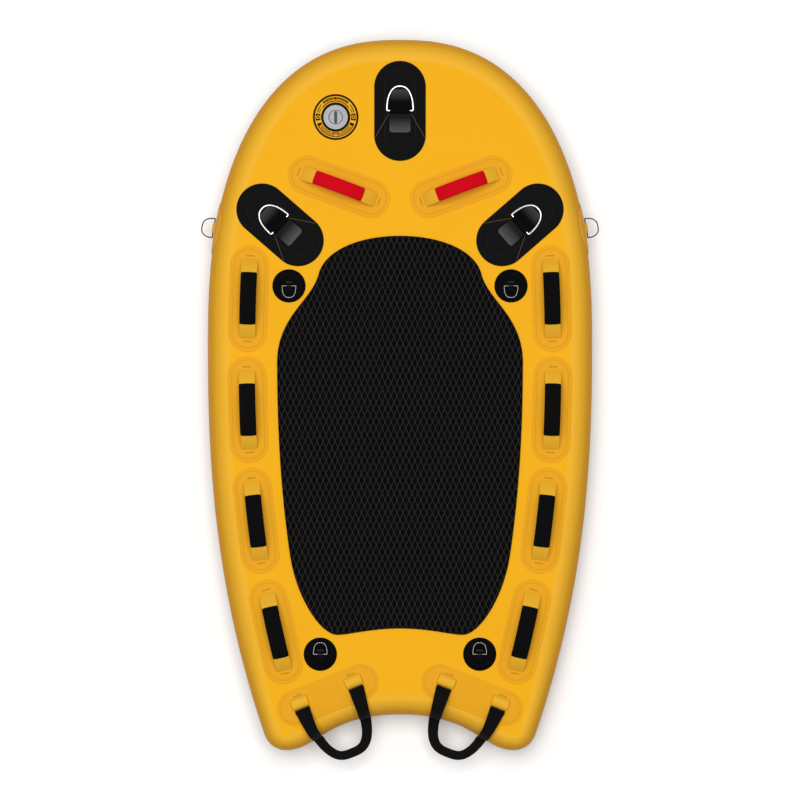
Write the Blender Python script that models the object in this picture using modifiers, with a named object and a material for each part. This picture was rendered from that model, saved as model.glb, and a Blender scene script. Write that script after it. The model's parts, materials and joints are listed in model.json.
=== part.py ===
"""Inflatable rescue board: a drop-stitch board with handles, tow points, D-rings and a valve.

The board lies flat, hull down. +Y points to the nose and +Z up. The origin is on the hull's flat face,
on the centreline, half-way along the length. All sizes are in metres.
"""

import math

import bmesh
import bpy
import numpy as np
from mathutils import Matrix, Vector

# Fits: the space between touching pieces, the sink of what is joined, and the weld of a cut's edges
GAP = 0.0003
SINK = 0.0006
WELD = 0.000001
SHARP = math.radians(30)

# Board outline
LENGTH = 1.800
WIDTH = 0.976
THICKNESS = 0.150
NOSE_LENGTH = 0.757
NOSE_FULLNESS = 2.4
STRAIGHT_LENGTH = 0.028
TAPER_POWER = 2.34
TIP_OFFSET = 0.289
TIP_RADIUS = 0.058
TIP_TURN = math.radians(18)
TAIL_HOLLOW = 0.0906
HOLLOW_LEAD = 0.28
HOLLOW_REAR = 0.35
NOSE_POINTS = 10
SIDE_POINTS = 7
TIP_POINTS = 4
HOLLOW_POINTS = 6

# Rail section and rocker
RAIL_REACH = 0.060
TIP_REACH = 0.046
TIP_BLEND = 0.160
RAIL_FULLNESS = 2.3
DECK_WRAP = 0.019
HULL_WRAP = 0.017
ROCKER_RISE = 0.042
ROCKER_LENGTH = 0.480
ROCKER_POWER = 2.4
ROCKER_STEPS = 6
RAIL_ROWS = 5
DECK_ROWS = (math.radians(64), math.radians(79))

# Fabric
SKIN_WALL = 0.0012
CORE_WALL = 0.0010

# Places: shares of the length from the nose, and of the half width from the centreline
RED_STATION = 0.207
RED_SIDE = 0.3156
TOW_NOSE_STATION = 0.1017
TOW_SIDE_STATION = 0.2606
TOW_SIDE_SIDE = 0.620
ROUND_FRONT_STATION = 0.3461
ROUND_FRONT_SPACE = 0.0096
ROUND_REAR_STATION = 0.8622
ROUND_REAR_SIDE = 0.4119
RAIL_RING_STATION = 0.2639
HULL_RING_STATION = 0.2567
HULL_RING_SIDE = 0.6045
TAIL_STATION = 0.9194
TAIL_SIDE = 0.3730
VALVE_STATION = 0.110
VALVE_SIDE = -0.332
HANDLE_FIRST = 0.3639
HANDLE_LAST = 0.8306
HANDLE_TO_RAIL = 0.103
RED_TURN = math.radians(20.3)
TOW_TURN = math.radians(41)
TAIL_TURN = math.radians(21.7)

# Grab handles
PATCH_LENGTH = 0.269
PATCH_WIDTH = 0.0985
PATCH_WALL = 0.0012
PATCH_SEAM = 0.011
PATCH_STEP = 0.0005
PATCH_SPACE = 0.004
END_STEPS = 6
ARCH_SPAN = 0.200
ARCH_RISE = 0.047
GRIP_LENGTH = 0.128
GRIP_WIDTH = 0.041
GRIP_THICKNESS = 0.009
ROOT_THICKNESS = 0.003
RED_GRIP_WIDTH = 0.035
GRIP_BEVEL = 0.003
GRIP_STEPS = 8
ROOT_STEPS = 3

# Tail handles
TAIL_PATCH_WIDTH = 0.090
COVER_SPACING = 0.1455
COVER_LENGTH = 0.047
COVER_DEPTH = 0.030
COVER_HEIGHT = 0.012
COVER_FORWARD = 0.008
ROLL_RADIUS = 0.006
STRAP_WIDTH = 0.038
STRAP_THICKNESS = 0.0025
STRAP_REACH = 0.139
STRAP_FULLNESS = 2.6
STRAP_BULGE = 0.026
STRAP_DROOP = 1.15
STRAP_STEPS = 16
COVER_STEPS = 7
ROLL_STEPS = 10

# Valve
VALVE_BORE = 0.017
VALVE_TUBE = 0.022
VALVE_DEPTH = 0.024
FLANGE_RADIUS = 0.034
FLANGE_WALL = 0.003
GASKET_WALL = 0.001
NUT_RADIUS = 0.031
NUT_WALL = 0.006
FLOOR_WALL = 0.003
VENT_RADIUS = 0.0032
VENT_RING = 0.0105
VENT_COUNT = 6
STEM_RADIUS = 0.0028
POPPET_RADIUS = 0.0155
POPPET_WALL = 0.003
BUTTON_RADIUS = 0.0065
BUTTON_WALL = 0.0025
STEM_STEPS = 16
SPRING_WIRE = 0.0004
SPRING_RADIUS = 0.0046
SPRING_TURNS = 4
SPRING_SPACE = 0.0080
SPRING_STEPS = 7
TURN_STEPS = 20
CAP_RADIUS = 0.0305
CAP_WALL = 0.005
CAP_SKIRT = 0.005
CAP_SKIRT_WALL = 0.002
CAP_HOLLOW = 0.0015
CAP_BEVEL = 0.00125
CAP_BAR_LENGTH = 0.031
CAP_BAR_WIDTH = 0.0073
CAP_BAR_HEIGHT = 0.0035
CAP_SCOOP_IN = 0.009
CAP_SCOOP_OUT = 0.0165
CAP_SCOOP_DEPTH = 0.0022
CAP_SCOOP_TURN = math.radians(52)
CAP_SCOOP_STEPS = 6

# Traction pad: its places are shares of the board's length and half width
TRACTION_WALL = 0.005
TRACTION_BEVEL = 0.0015
TRACTION_RAIL_GAP = 0.178
TRACTION_FRONT = 0.276
TRACTION_REAR = 0.826
TRACTION_ROUND_GAP = 0.034
TRACTION_HEAD = 0.051
TRACTION_HEAD_PULLS = ((0.49, 0.0), (0.907, 0.019))
TRACTION_SHOULDER = 0.183
TRACTION_SHOULDER_PULLS = ((1.088, 0.081), (1.52, 0.125))
TRACTION_CORNER_START = 0.104
TRACTION_CORNER = (0.324, 0.009)
TRACTION_CORNER_PULLS = ((0.537, 0.050), (0.420, -0.014))
TRACTION_BOW_PULLS = ((0.225, -0.0055), (0.102, 0.0))
CURVE_STEPS = 5
SIDE_STEPS = 7

# Tow points
TOW_PEAK = 0.0185
TOW_PAD_LENGTH = 0.250
TOW_PAD_WIDTH = 0.130
TOW_PAD_SEAM = 0.024

# D-rings on patches
PAD_WALL = 0.0015
PAD_STEP = 0.0008
ROUND_DIAMETER = 0.084
ROUND_SEAM = 0.012
ROUND_STEPS = 16
RAIL_PATCH_DIAMETER = 0.100
RAIL_PATCH_CUTS = 8
HULL_PAD_LENGTH = 0.148
HULL_PAD_WIDTH = 0.109
HULL_PAD_SEAM = 0.018
RAIL_RING_DROOP = math.radians(45)
RING_STEPS = 8
RING_CORNER = 0.8
TOW_RING_SIZES = {
    "width": 0.072, "length": 0.068, "wire": 0.005, "tab": 0.050, "foot": 0.049, "wall": 0.002, "sides": 2,
}
DECK_RING_SIZES = {
    "width": 0.039, "length": 0.033, "wire": 0.003, "tab": 0.020, "foot": 0.012, "wall": 0.0014, "sides": 1,
}
RAIL_RING_SIZES = {
    "width": 0.052, "length": 0.048, "wire": 0.003, "tab": 0.024, "foot": 0.014, "wall": 0.0014, "sides": 1,
}
HULL_RING_SIZES = {
    "width": 0.050, "length": 0.0445, "wire": 0.004, "tab": 0.028, "foot": 0.014, "wall": 0.0014, "sides": 1,
}
TAB_OPENING = math.radians(25)
TAB_STEPS = 4
TAB_EDGE = 0.6
TAB_FEET = 3

DECK = THICKNESS
HALF = WIDTH / 2
NOSE = LENGTH / 2
TAIL = -LENGTH / 2
COLORS = {
    "yellow": (0.93, 0.45, 0.012, 1.0),
    "patch_yellow": (0.80, 0.38, 0.014, 1.0),
    "orange": (0.90, 0.33, 0.006, 1.0),
    "black": (0.010, 0.010, 0.011, 1.0),
    "webbing": (0.016, 0.016, 0.017, 1.0),
    "red": (0.55, 0.006, 0.014, 1.0),
    "steel": (0.80, 0.80, 0.81, 1.0),
    "grey": (0.43, 0.43, 0.45, 1.0),
    "white": (0.75, 0.75, 0.72, 1.0),
}


def start_scene():
    """Removes what the scene holds and makes the board's collection and its root empty."""
    for obj in list(bpy.data.objects):
        bpy.data.objects.remove(obj)
    parts = bpy.data.collections.new("rescue_board")
    helpers = bpy.data.collections.new("rescue_board_cutters")
    bpy.context.scene.collection.children.link(parts)
    bpy.context.scene.collection.children.link(helpers)
    root = bpy.data.objects.new("board_origin", None)
    parts.objects.link(root)
    return parts, helpers, root


PARTS, HELPERS, ROOT = start_scene()


def finish(name, color, roughness, metallic=0.0):
    material = bpy.data.materials.new(name)
    material.use_nodes = True
    shader = material.node_tree.nodes["Principled BSDF"]
    shader.inputs["Base Color"].default_value = COLORS[color]
    shader.inputs["Roughness"].default_value = roughness
    shader.inputs["Metallic"].default_value = metallic
    return material


def mesh_of(shape, name):
    """The mesh of a bmesh, which it frees. Flat faces stay flat and round ones are smooth."""
    if shape.calc_volume(signed=True) < 0:
        bmesh.ops.reverse_faces(shape, faces=shape.faces[:])
    mesh = bpy.data.meshes.new(name)
    shape.to_mesh(mesh)
    shape.free()
    mesh.shade_smooth()
    mesh.set_sharp_from_angle(angle=SHARP)
    return mesh


def add(name, mesh, color, roughness, place=None, metallic=0.0):
    """Adds a piece at its place, with a material of its own."""
    mesh = mesh.copy()
    mesh.name = name
    mesh.materials.clear()
    mesh.materials.append(finish(name, color, roughness, metallic))
    piece = bpy.data.objects.new(name, mesh)
    PARTS.objects.link(piece)
    piece.parent = ROOT
    if place is not None:
        piece.matrix_world = place
    return piece


def combined(base, other, operation):
    """The bmesh of two meshes joined or cut by an exact Boolean."""
    objects = [bpy.data.objects.new("step", mesh) for mesh in (base, other)]
    for obj in objects:
        HELPERS.objects.link(obj)
    change = objects[0].modifiers.new("join", "BOOLEAN")
    change.operation = operation
    change.object = objects[1]
    change.solver = "EXACT"
    bpy.context.view_layer.update()
    graph = bpy.context.evaluated_depsgraph_get()
    mesh = bpy.data.meshes.new_from_object(objects[0].evaluated_get(graph))
    for obj in objects:
        bpy.data.objects.remove(obj)
    result = bmesh.new()
    result.from_mesh(mesh)
    bmesh.ops.remove_doubles(result, verts=result.verts[:], dist=WELD)
    return result


def extruded(points, low, high, axes=(0, 1, 2)):
    """A closed outline of (a, b) points, run along the third axis from low to high."""
    shape = bmesh.new()
    verts = []
    for a, b in points:
        co = [0.0, 0.0, 0.0]
        co[axes[0]], co[axes[1]], co[axes[2]] = a, b, low
        verts.append(shape.verts.new(co))
    face = shape.faces.new(verts)
    grown = bmesh.ops.extrude_face_region(shape, geom=[face])
    moved = [item for item in grown["geom"] if isinstance(item, bmesh.types.BMVert)]
    step = [0.0, 0.0, 0.0]
    step[axes[2]] = high - low
    bmesh.ops.translate(shape, verts=moved, vec=step)
    bmesh.ops.recalc_face_normals(shape, faces=shape.faces[:])
    return shape


def merged(shapes):
    """One bmesh that holds several, still as separate bodies."""
    whole = bmesh.new()
    for shape in shapes:
        mesh = bpy.data.meshes.new("step")
        shape.to_mesh(mesh)
        shape.free()
        whole.from_mesh(mesh)
        bpy.data.meshes.remove(mesh)
    return whole


def turned(profile, steps=TURN_STEPS):
    """A closed (radius, height) profile turned about Z, as a mesh."""
    mesh = bpy.data.meshes.new("profile")
    count = len(profile)
    on_axis = profile[0][0] == 0.0
    edges = [(i, i + 1) for i in range(count - 1)]
    if not on_axis:
        edges.append((count - 1, 0))
    mesh.from_pydata([(r, 0.0, z) for r, z in profile], edges, [])
    obj = bpy.data.objects.new("turning", mesh)
    HELPERS.objects.link(obj)
    screw = obj.modifiers.new("turn", "SCREW")
    screw.steps = steps
    screw.render_steps = steps
    screw.use_merge_vertices = True
    screw.merge_threshold = WELD
    bpy.context.view_layer.update()
    graph = bpy.context.evaluated_depsgraph_get()
    result = bpy.data.meshes.new_from_object(obj.evaluated_get(graph))
    bpy.data.objects.remove(obj)
    shape = bmesh.new()
    shape.from_mesh(result)
    bmesh.ops.remove_doubles(shape, verts=shape.verts[:], dist=WELD)
    bmesh.ops.recalc_face_normals(shape, faces=shape.faces[:])
    return mesh_of(shape, "turned")


def tube(points, radius, sides_level, cyclic):
    """A wire along the points, from a curve with a bevel, as a mesh with welded caps."""
    curve = bpy.data.curves.new("wire", "CURVE")
    curve.dimensions = "3D"
    curve.bevel_depth = radius
    curve.bevel_resolution = sides_level
    curve.use_fill_caps = not cyclic
    spline = curve.splines.new("POLY")
    spline.points.add(len(points) - 1)
    for point, co in zip(spline.points, points):
        point.co = (*co, 1.0)
    spline.use_cyclic_u = cyclic
    obj = bpy.data.objects.new("wire", curve)
    HELPERS.objects.link(obj)
    bpy.context.view_layer.update()
    graph = bpy.context.evaluated_depsgraph_get()
    mesh = bpy.data.meshes.new_from_object(obj.evaluated_get(graph))
    bpy.data.objects.remove(obj)
    shape = bmesh.new()
    shape.from_mesh(mesh)
    bmesh.ops.remove_doubles(shape, verts=shape.verts[:], dist=WELD)
    bmesh.ops.recalc_face_normals(shape, faces=shape.faces[:])
    return mesh_of(shape, "wire")


def arc(centre, radius, start, end, steps):
    """Points on a circle from the start angle to the end angle, both included."""
    angles = np.linspace(start, end, steps + 1)
    return [(centre[0] + radius * math.cos(a), centre[1] + radius * math.sin(a)) for a in angles]


def bezier(start, pulls, end, steps):
    """Points on a cubic curve that two pulls bend, without its end."""
    points = []
    for t in np.linspace(0.0, 1.0, steps + 1)[:-1]:
        shares = ((1 - t) ** 3, 3 * (1 - t) ** 2 * t, 3 * (1 - t) * t**2, t**3)
        controls = (start, pulls[0], pulls[1], end)
        points.append(tuple(float(sum(s * c[k] for s, c in zip(shares, controls))) for k in (0, 1)))
    return points


def stadium(length, width, steps=END_STEPS):
    """An outline with two half-round ends, along the first axis."""
    radius = width / 2
    reach = length / 2 - radius
    quarter = math.pi / 2
    right = arc((reach, 0.0), radius, -quarter, quarter, steps)
    left = arc((-reach, 0.0), radius, quarter, 3 * quarter, steps)
    return right + left


def plate(outline, wall, seam, step):
    """A welded patch: a flat plate whose middle, inside the seam line, stands a step higher."""
    shape = extruded(outline, 0.0, wall)
    top = max(shape.faces, key=lambda face: face.calc_center_median().z)
    bmesh.ops.inset_region(shape, faces=[top], thickness=seam)
    bmesh.ops.inset_region(shape, faces=[top], thickness=step, depth=step)
    return shape


def station(share):
    """The Y of a share of the length, counted from the nose."""
    return NOSE - share * LENGTH


def lift(y):
    """The nose rocker: how far the board's section at y is raised, straight between stations."""
    from_nose = np.linspace(0.0, ROCKER_LENGTH, ROCKER_STEPS + 1)
    rise = ROCKER_RISE * (1.0 - from_nose / ROCKER_LENGTH) ** ROCKER_POWER
    return float(np.interp(NOSE - y, from_nose, rise))


def rock(shape, place=None):
    """Cuts a bmesh at the rocker stations and raises it with the nose. Place is where it will stand."""
    place = place or Matrix.Identity(4)
    shape.transform(place)
    for i in range(ROCKER_STEPS + 1):
        y = NOSE - i * ROCKER_LENGTH / ROCKER_STEPS
        whole = shape.verts[:] + shape.edges[:] + shape.faces[:]
        bmesh.ops.bisect_plane(shape, geom=whole, dist=WELD, plane_co=(0, y, 0), plane_no=(0, 1, 0))
    raised = lift(place.translation.y)
    for vert in shape.verts:
        vert.co.z += lift(vert.co.y) - raised
    shape.transform(place.inverted())
    return shape


def half_outline():
    """The board's plan outline from the nose centre round the right side to the tail centre."""
    points = []
    for a in np.linspace(0.0, math.pi / 2, NOSE_POINTS + 1):
        x = HALF * math.sin(a) ** (2 / NOSE_FULLNESS)
        from_nose = NOSE_LENGTH * (1 - max(math.cos(a), 0.0) ** (2 / NOSE_FULLNESS))
        points.append((x, NOSE - from_nose))
    tip = (TIP_OFFSET, TAIL + TIP_RADIUS)
    corner = arc(tip, TIP_RADIUS, -TIP_TURN, -math.pi / 2, TIP_POINTS)
    wide = NOSE - NOSE_LENGTH - STRAIGHT_LENGTH
    for t in np.linspace(0.0, 1.0, SIDE_POINTS + 1)[:-1]:
        x = HALF - (HALF - corner[0][0]) * t**TAPER_POWER
        points.append((x, wide + (corner[0][1] - wide) * t))
    middle = (0.0, TAIL + TAIL_HOLLOW)
    pulls = ((TIP_OFFSET * (1 - HOLLOW_LEAD), TAIL), (TIP_OFFSET * (1 - HOLLOW_REAR), TAIL + TAIL_HOLLOW))
    points += corner[:-1] + bezier(corner[-1], pulls, middle, HOLLOW_POINTS) + [middle]
    return points


def full_outline():
    right = half_outline()
    left = [(-x, y) for x, y in right[-2:0:-1]]
    return np.array(right + left)


OUTLINE = full_outline()


def outline_normals():
    """Unit normals that point out of the outline, each from its two neighbours."""
    ahead = np.roll(OUTLINE, -1, axis=0) - OUTLINE
    behind = OUTLINE - np.roll(OUTLINE, 1, axis=0)
    ahead /= np.linalg.norm(ahead, axis=1)[:, None]
    behind /= np.linalg.norm(behind, axis=1)[:, None]
    along = ahead + behind
    along /= np.linalg.norm(along, axis=1)[:, None]
    return np.stack([-along[:, 1], along[:, 0]], axis=1)


NORMALS = outline_normals()


def rail_reach():
    """How far the rounded rail reaches in at each outline point: less at the tight tail tips."""
    tips = np.array([[TIP_OFFSET, TAIL + TIP_RADIUS], [-TIP_OFFSET, TAIL + TIP_RADIUS]])
    near = np.linalg.norm(OUTLINE[:, None] - tips[None], axis=2).min(axis=1) - TIP_RADIUS
    share = np.exp(-((near / TIP_BLEND) ** 2))
    return RAIL_REACH - (RAIL_REACH - TIP_REACH) * share


REACH = rail_reach()


def section(angle):
    """The rail's superellipse at an angle: share across, share up, and the unit normal's two parts."""
    across = abs(math.cos(angle)) ** (2 / RAIL_FULLNESS)
    up = math.copysign(abs(math.sin(angle)) ** (2 / RAIL_FULLNESS), angle)
    out = across ** (RAIL_FULLNESS - 1) / RAIL_REACH
    rise = math.copysign(abs(up) ** (RAIL_FULLNESS - 1), up) * 2 / THICKNESS
    size = math.hypot(out, rise)
    return across, up, out / size, rise / size


def ring(angle, depth):
    """The board's surface at one height of the rail, all round, sunk by depth."""
    across, up, out, rise = section(angle)
    inset = REACH * (1 - across) + depth * out
    flat = OUTLINE - NORMALS * inset[:, None]
    height = THICKNESS / 2 * (1 + up) - depth * rise
    return np.column_stack([flat, np.full(len(flat), height)])


def wrap_angle(drop):
    """The section's angle where the surface has dropped this far from its flat face."""
    return math.asin((1 - drop * 2 / THICKNESS) ** (RAIL_FULLNESS / 2))


DECK_EDGE = wrap_angle(DECK_WRAP)
HULL_EDGE = -wrap_angle(HULL_WRAP)
FLAT = math.pi / 2
DECK_ANGLES = [DECK_EDGE, *DECK_ROWS, FLAT]
RAIL_ANGLES = list(np.linspace(HULL_EDGE, DECK_EDGE, RAIL_ROWS))
HULL_ANGLES = [-a for a in DECK_ANGLES[:0:-1]] + [HULL_EDGE]


def add_ring(shape, points):
    return [shape.verts.new(point) for point in points]


def bridge(shape, low, high):
    """Triangles between two rings of the same count, split alike in every layer so that layers stay apart."""
    count = len(low)
    for i in range(count):
        j = (i + 1) % count
        shape.faces.new((low[i], high[i], high[j]))
        shape.faces.new((low[i], high[j], low[j]))


def shell(angles, closed_low, closed_high, trim=0.0):
    """A fabric layer between two angles of the section. An end is capped, or rimmed after a trim."""
    outer, inner = ([ring(angle, depth) for angle in angles] for depth in (0.0, SKIN_WALL))
    for rings in (outer, inner):
        for end, near in ((0, 1), (-1, -2)):
            step = np.linalg.norm(rings[near] - rings[end], axis=1)[:, None]
            rings[end] = rings[end] + (rings[near] - rings[end]) * trim / step
    shape = bmesh.new()
    outside = [add_ring(shape, points) for points in outer]
    inside = [add_ring(shape, points) for points in inner]
    for low, high in zip(outside, outside[1:]):
        bridge(shape, low, high)
    for low, high in zip(inside, inside[1:]):
        bridge(shape, low, high)
    for end, closed in ((0, closed_low), (-1, closed_high)):
        if closed:
            shape.faces.new(outside[end])
            shape.faces.new(inside[end])
        else:
            bridge(shape, outside[end], inside[end])
    bmesh.ops.recalc_face_normals(shape, faces=shape.faces[:])
    return rock(shape)


def bladder(depth, angles):
    """The whole board's closed surface, sunk by depth."""
    shape = bmesh.new()
    rings = [add_ring(shape, ring(angle, depth)) for angle in angles]
    for low, high in zip(rings, rings[1:]):
        bridge(shape, low, high)
    shape.faces.new(rings[0])
    shape.faces.new(rings[-1])
    bmesh.ops.recalc_face_normals(shape, faces=shape.faces[:])
    return rock(shape)


def surface_frame(x, y, radius):
    """A frame on the rockered deck: Z square to it, just high enough for a round foot to clear it.

    Also returns the hollow: how far the deck sinks below that foot in its middle.
    """
    slope = (lift(y + radius) - lift(y - radius)) / (2 * radius)
    hollow = max(lift(y + d) - lift(y) - slope * d for d in (-radius, radius))
    tilt = Matrix.Rotation(math.atan(slope), 4, "X")
    return Matrix.Translation((x, y, DECK + lift(y) + hollow)) @ tilt, hollow


def board_pieces(valve_place):
    """The four layers of the board, with the valve's hole through deck and core."""
    hole = turned([(0, DECK / 2), (VALVE_TUBE + GAP, DECK / 2), (VALVE_TUBE + GAP, -DECK / 2), (0, -DECK / 2)])
    hole.transform(valve_place)
    deck = shell(DECK_ANGLES, False, True)
    add("deck_skin", mesh_of(combined(mesh_of(deck, "deck"), hole, "DIFFERENCE"), "deck"), "yellow", 0.45)
    hull = shell(HULL_ANGLES, True, False)
    add("hull_skin", mesh_of(hull, "hull"), "black", 0.5)
    rail = shell(RAIL_ANGLES, False, False, GAP)
    add("rail_band", mesh_of(rail, "rail"), "orange", 0.45)
    angles = [-FLAT, -DECK_ROWS[0], *RAIL_ANGLES, DECK_ROWS[0], FLAT]
    outside = mesh_of(bladder(SKIN_WALL + GAP, angles), "outside")
    inside = mesh_of(bladder(SKIN_WALL + GAP + CORE_WALL, angles), "inside")
    hollow = mesh_of(combined(outside, inside, "DIFFERENCE"), "hollow")
    core = combined(hollow, hole, "DIFFERENCE")
    add("drop_stitch_core", mesh_of(core, "core"), "white", 0.8)


def rail_at(y):
    """The outline's right side at y: its X, and the angle of its outward normal from +X."""
    right = np.array(half_outline()[: NOSE_POINTS + 1 + SIDE_POINTS])
    order = np.argsort(right[:, 1])
    xs, ys = right[order, 0], right[order, 1]
    here = float(np.interp(y, ys, xs))
    ahead, behind = (float(np.interp(y + way * RAIL_REACH, ys, xs)) for way in (1, -1))
    return here, math.atan2(behind - ahead, 2 * RAIL_REACH)


def round_front_x():
    """The front round patches stand beside the first side handles, square across the board."""
    rail = rail_at(station(ROUND_FRONT_STATION))[0]
    return rail - HANDLE_TO_RAIL - PATCH_WIDTH / 2 - ROUND_FRONT_SPACE - ROUND_DIAMETER / 2


def traction_outline():
    """The foam pad: a domed head between the round patches, sides that follow the rail, a bowed rear."""
    rear = station(TRACTION_REAR)
    front = station(TRACTION_FRONT)
    neck = round_front_x() - ROUND_DIAMETER / 2 - TRACTION_ROUND_GAP

    def place(point, edge, half):
        return half * point[0], edge - LENGTH * point[1]

    high, low = front - LENGTH * TRACTION_SHOULDER, rear + LENGTH * TRACTION_CORNER_START
    side = [(rail_at(y)[0] - TRACTION_RAIL_GAP, float(y)) for y in np.linspace(high, low, SIDE_STEPS + 1)]
    head, corner = place((1.0, TRACTION_HEAD), front, neck), place(TRACTION_CORNER, rear, HALF)
    pulls = [[place(pull, front, neck) for pull in pair] for pair in (TRACTION_HEAD_PULLS, TRACTION_SHOULDER_PULLS)]
    pulls += [[place(pull, rear, HALF) for pull in pair] for pair in (TRACTION_CORNER_PULLS, TRACTION_BOW_PULLS)]
    right = bezier((0.0, front), pulls[0], head, CURVE_STEPS) + bezier(head, pulls[1], side[0], CURVE_STEPS)
    right += side[:-1] + bezier(side[-1], pulls[2], corner, CURVE_STEPS)
    right += bezier(corner, pulls[3], (0.0, rear), CURVE_STEPS) + [(0.0, rear)]
    return right + [(-x, y) for x, y in right[-2:0:-1]]


def traction_pad():
    shape = extruded(traction_outline(), 0.0, TRACTION_WALL)
    top = max(shape.faces, key=lambda face: face.calc_center_median().z)
    bmesh.ops.bevel(shape, geom=top.edges[:], offset=TRACTION_BEVEL, segments=1, affect="EDGES")
    add("traction_pad", mesh_of(shape, "pad"), "black", 0.85, Matrix.Translation((0, 0, DECK + GAP)))


def arch_height(u, offset):
    """The height at u of the handle's round arch, moved out by offset from its middle line."""
    radius = (ARCH_SPAN**2 / 4 + ARCH_RISE**2) / (2 * ARCH_RISE)
    return math.sqrt(max((radius + offset) ** 2 - u**2, 0.0)) - (radius - ARCH_RISE)


def arch_foot(offset, height):
    """Where the arch's line, moved out by offset, comes down to a height."""
    radius = (ARCH_SPAN**2 / 4 + ARCH_RISE**2) / (2 * ARCH_RISE)
    return math.sqrt((radius + offset) ** 2 - (height + radius - ARCH_RISE) ** 2)


def grip_mesh(width, place):
    """The padded grip: a slice of the arch between the sewn roots, with rounded long edges."""
    half = GRIP_THICKNESS / 2
    us = np.linspace(-GRIP_LENGTH / 2, GRIP_LENGTH / 2, GRIP_STEPS + 1)
    over = [(float(u), arch_height(u, half)) for u in us]
    under = [(float(u), arch_height(u, -half)) for u in us[::-1]]
    shape = extruded(over + under, -width / 2, width / 2, axes=(0, 2, 1))
    caps = [face for face in shape.faces if abs(face.normal.y) > 0.9]
    ends = GRIP_LENGTH / 2 - SINK
    edges = [e for cap in caps for e in cap.edges if min(abs(v.co.x) for v in e.verts) < ends]
    bmesh.ops.bevel(shape, geom=edges, offset=GRIP_BEVEL, segments=1, affect="EDGES")
    return mesh_of(rock(shape, place), "grip")


def handle_patch_mesh(width, place):
    """The yellow patch with its two sewn roots, which carry the grip on."""
    base = plate(stadium(PATCH_LENGTH, PATCH_WIDTH), PATCH_WALL, PATCH_SEAM, PATCH_STEP)
    top = PATCH_WALL + PATCH_STEP
    half = ROOT_THICKNESS / 2
    start = GRIP_LENGTH / 2 + GAP
    roots = []
    for side in (-1, 1):
        over = np.linspace(start, arch_foot(half, -SINK), ROOT_STEPS + 1)
        under = np.linspace(arch_foot(-half, -SINK), start, ROOT_STEPS + 1)
        outline = [(side * float(u), top + arch_height(u, half)) for u in over]
        outline += [(side * float(u), top + arch_height(u, -half)) for u in under]
        roots.append(extruded(outline, -width / 2, width / 2, axes=(0, 2, 1)))
    shape = combined(mesh_of(base, "base"), mesh_of(merged(roots), "roots"), "UNION")
    return mesh_of(rock(shape, place), "patch")


def turned_place(x, y, angle, height):
    return Matrix.Translation((x, y, height)) @ Matrix.Rotation(angle, 4, "Z")


def add_handle(name, x, y, angle, width, color):
    """A grab handle. Its grip turns on the line through its roots, at the top of its patch."""
    place = turned_place(x, y, angle, DECK + GAP + lift(y))
    add(f"{name}_patch", handle_patch_mesh(width, place), "patch_yellow", 0.5, place)
    pivot = place @ Matrix.Translation((0, 0, PATCH_WALL + PATCH_STEP))
    add(f"{name}_grip", grip_mesh(width, pivot), color, 0.8, pivot)


def grab_handles():
    """Two red handles at the nose, and rows of black ones down both sides."""
    for side, hand in ((-1, "left"), (1, "right")):
        x = side * RED_SIDE * HALF
        add_handle(f"red_handle_{hand}", x, station(RED_STATION), side * RED_TURN, RED_GRIP_WIDTH, "red")
    run = (HANDLE_LAST - HANDLE_FIRST) * LENGTH
    rows = 1 + int(run / (PATCH_LENGTH + PATCH_SPACE))
    for row in range(rows):
        y = station(HANDLE_FIRST) - run * row / (rows - 1)
        rail, lean = rail_at(y)
        x = rail - HANDLE_TO_RAIL / math.cos(lean)
        for side, hand in ((-1, "left"), (1, "right")):
            angle = math.pi / 2 + side * lean
            add_handle(f"side_handle_{hand}_{row + 1}", side * x, y, angle, GRIP_WIDTH, "webbing")


def tail_frame(side):
    """A tail patch's frame: its X runs along the patch, and its Y towards the nose."""
    return turned_place(side * TAIL_SIDE * HALF, station(TAIL_STATION), -side * TAIL_TURN, DECK + GAP)


def tail_patch_mesh():
    """The patch with two half-round covers over the sewn ends of the strap."""
    base = plate(stadium(PATCH_LENGTH, TAIL_PATCH_WIDTH), PATCH_WALL, PATCH_SEAM, PATCH_STEP)
    top = PATCH_WALL + PATCH_STEP
    angles = np.linspace(0.0, math.pi, COVER_STEPS + 1)
    dome = [(COVER_DEPTH / 2 * math.cos(a), top + COVER_HEIGHT * math.sin(a)) for a in angles]
    dome = [(COVER_DEPTH / 2, top - SINK)] + dome + [(-COVER_DEPTH / 2, top - SINK)]
    dome = [(y + COVER_FORWARD, z) for y, z in dome]
    covers = []
    for side in (-1, 1):
        middle = side * COVER_SPACING / 2
        covers.append(extruded(dome, middle - COVER_LENGTH / 2, middle + COVER_LENGTH / 2, axes=(1, 2, 0)))
    return mesh_of(combined(mesh_of(base, "base"), mesh_of(merged(covers), "covers"), "UNION"), "patch")


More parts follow.
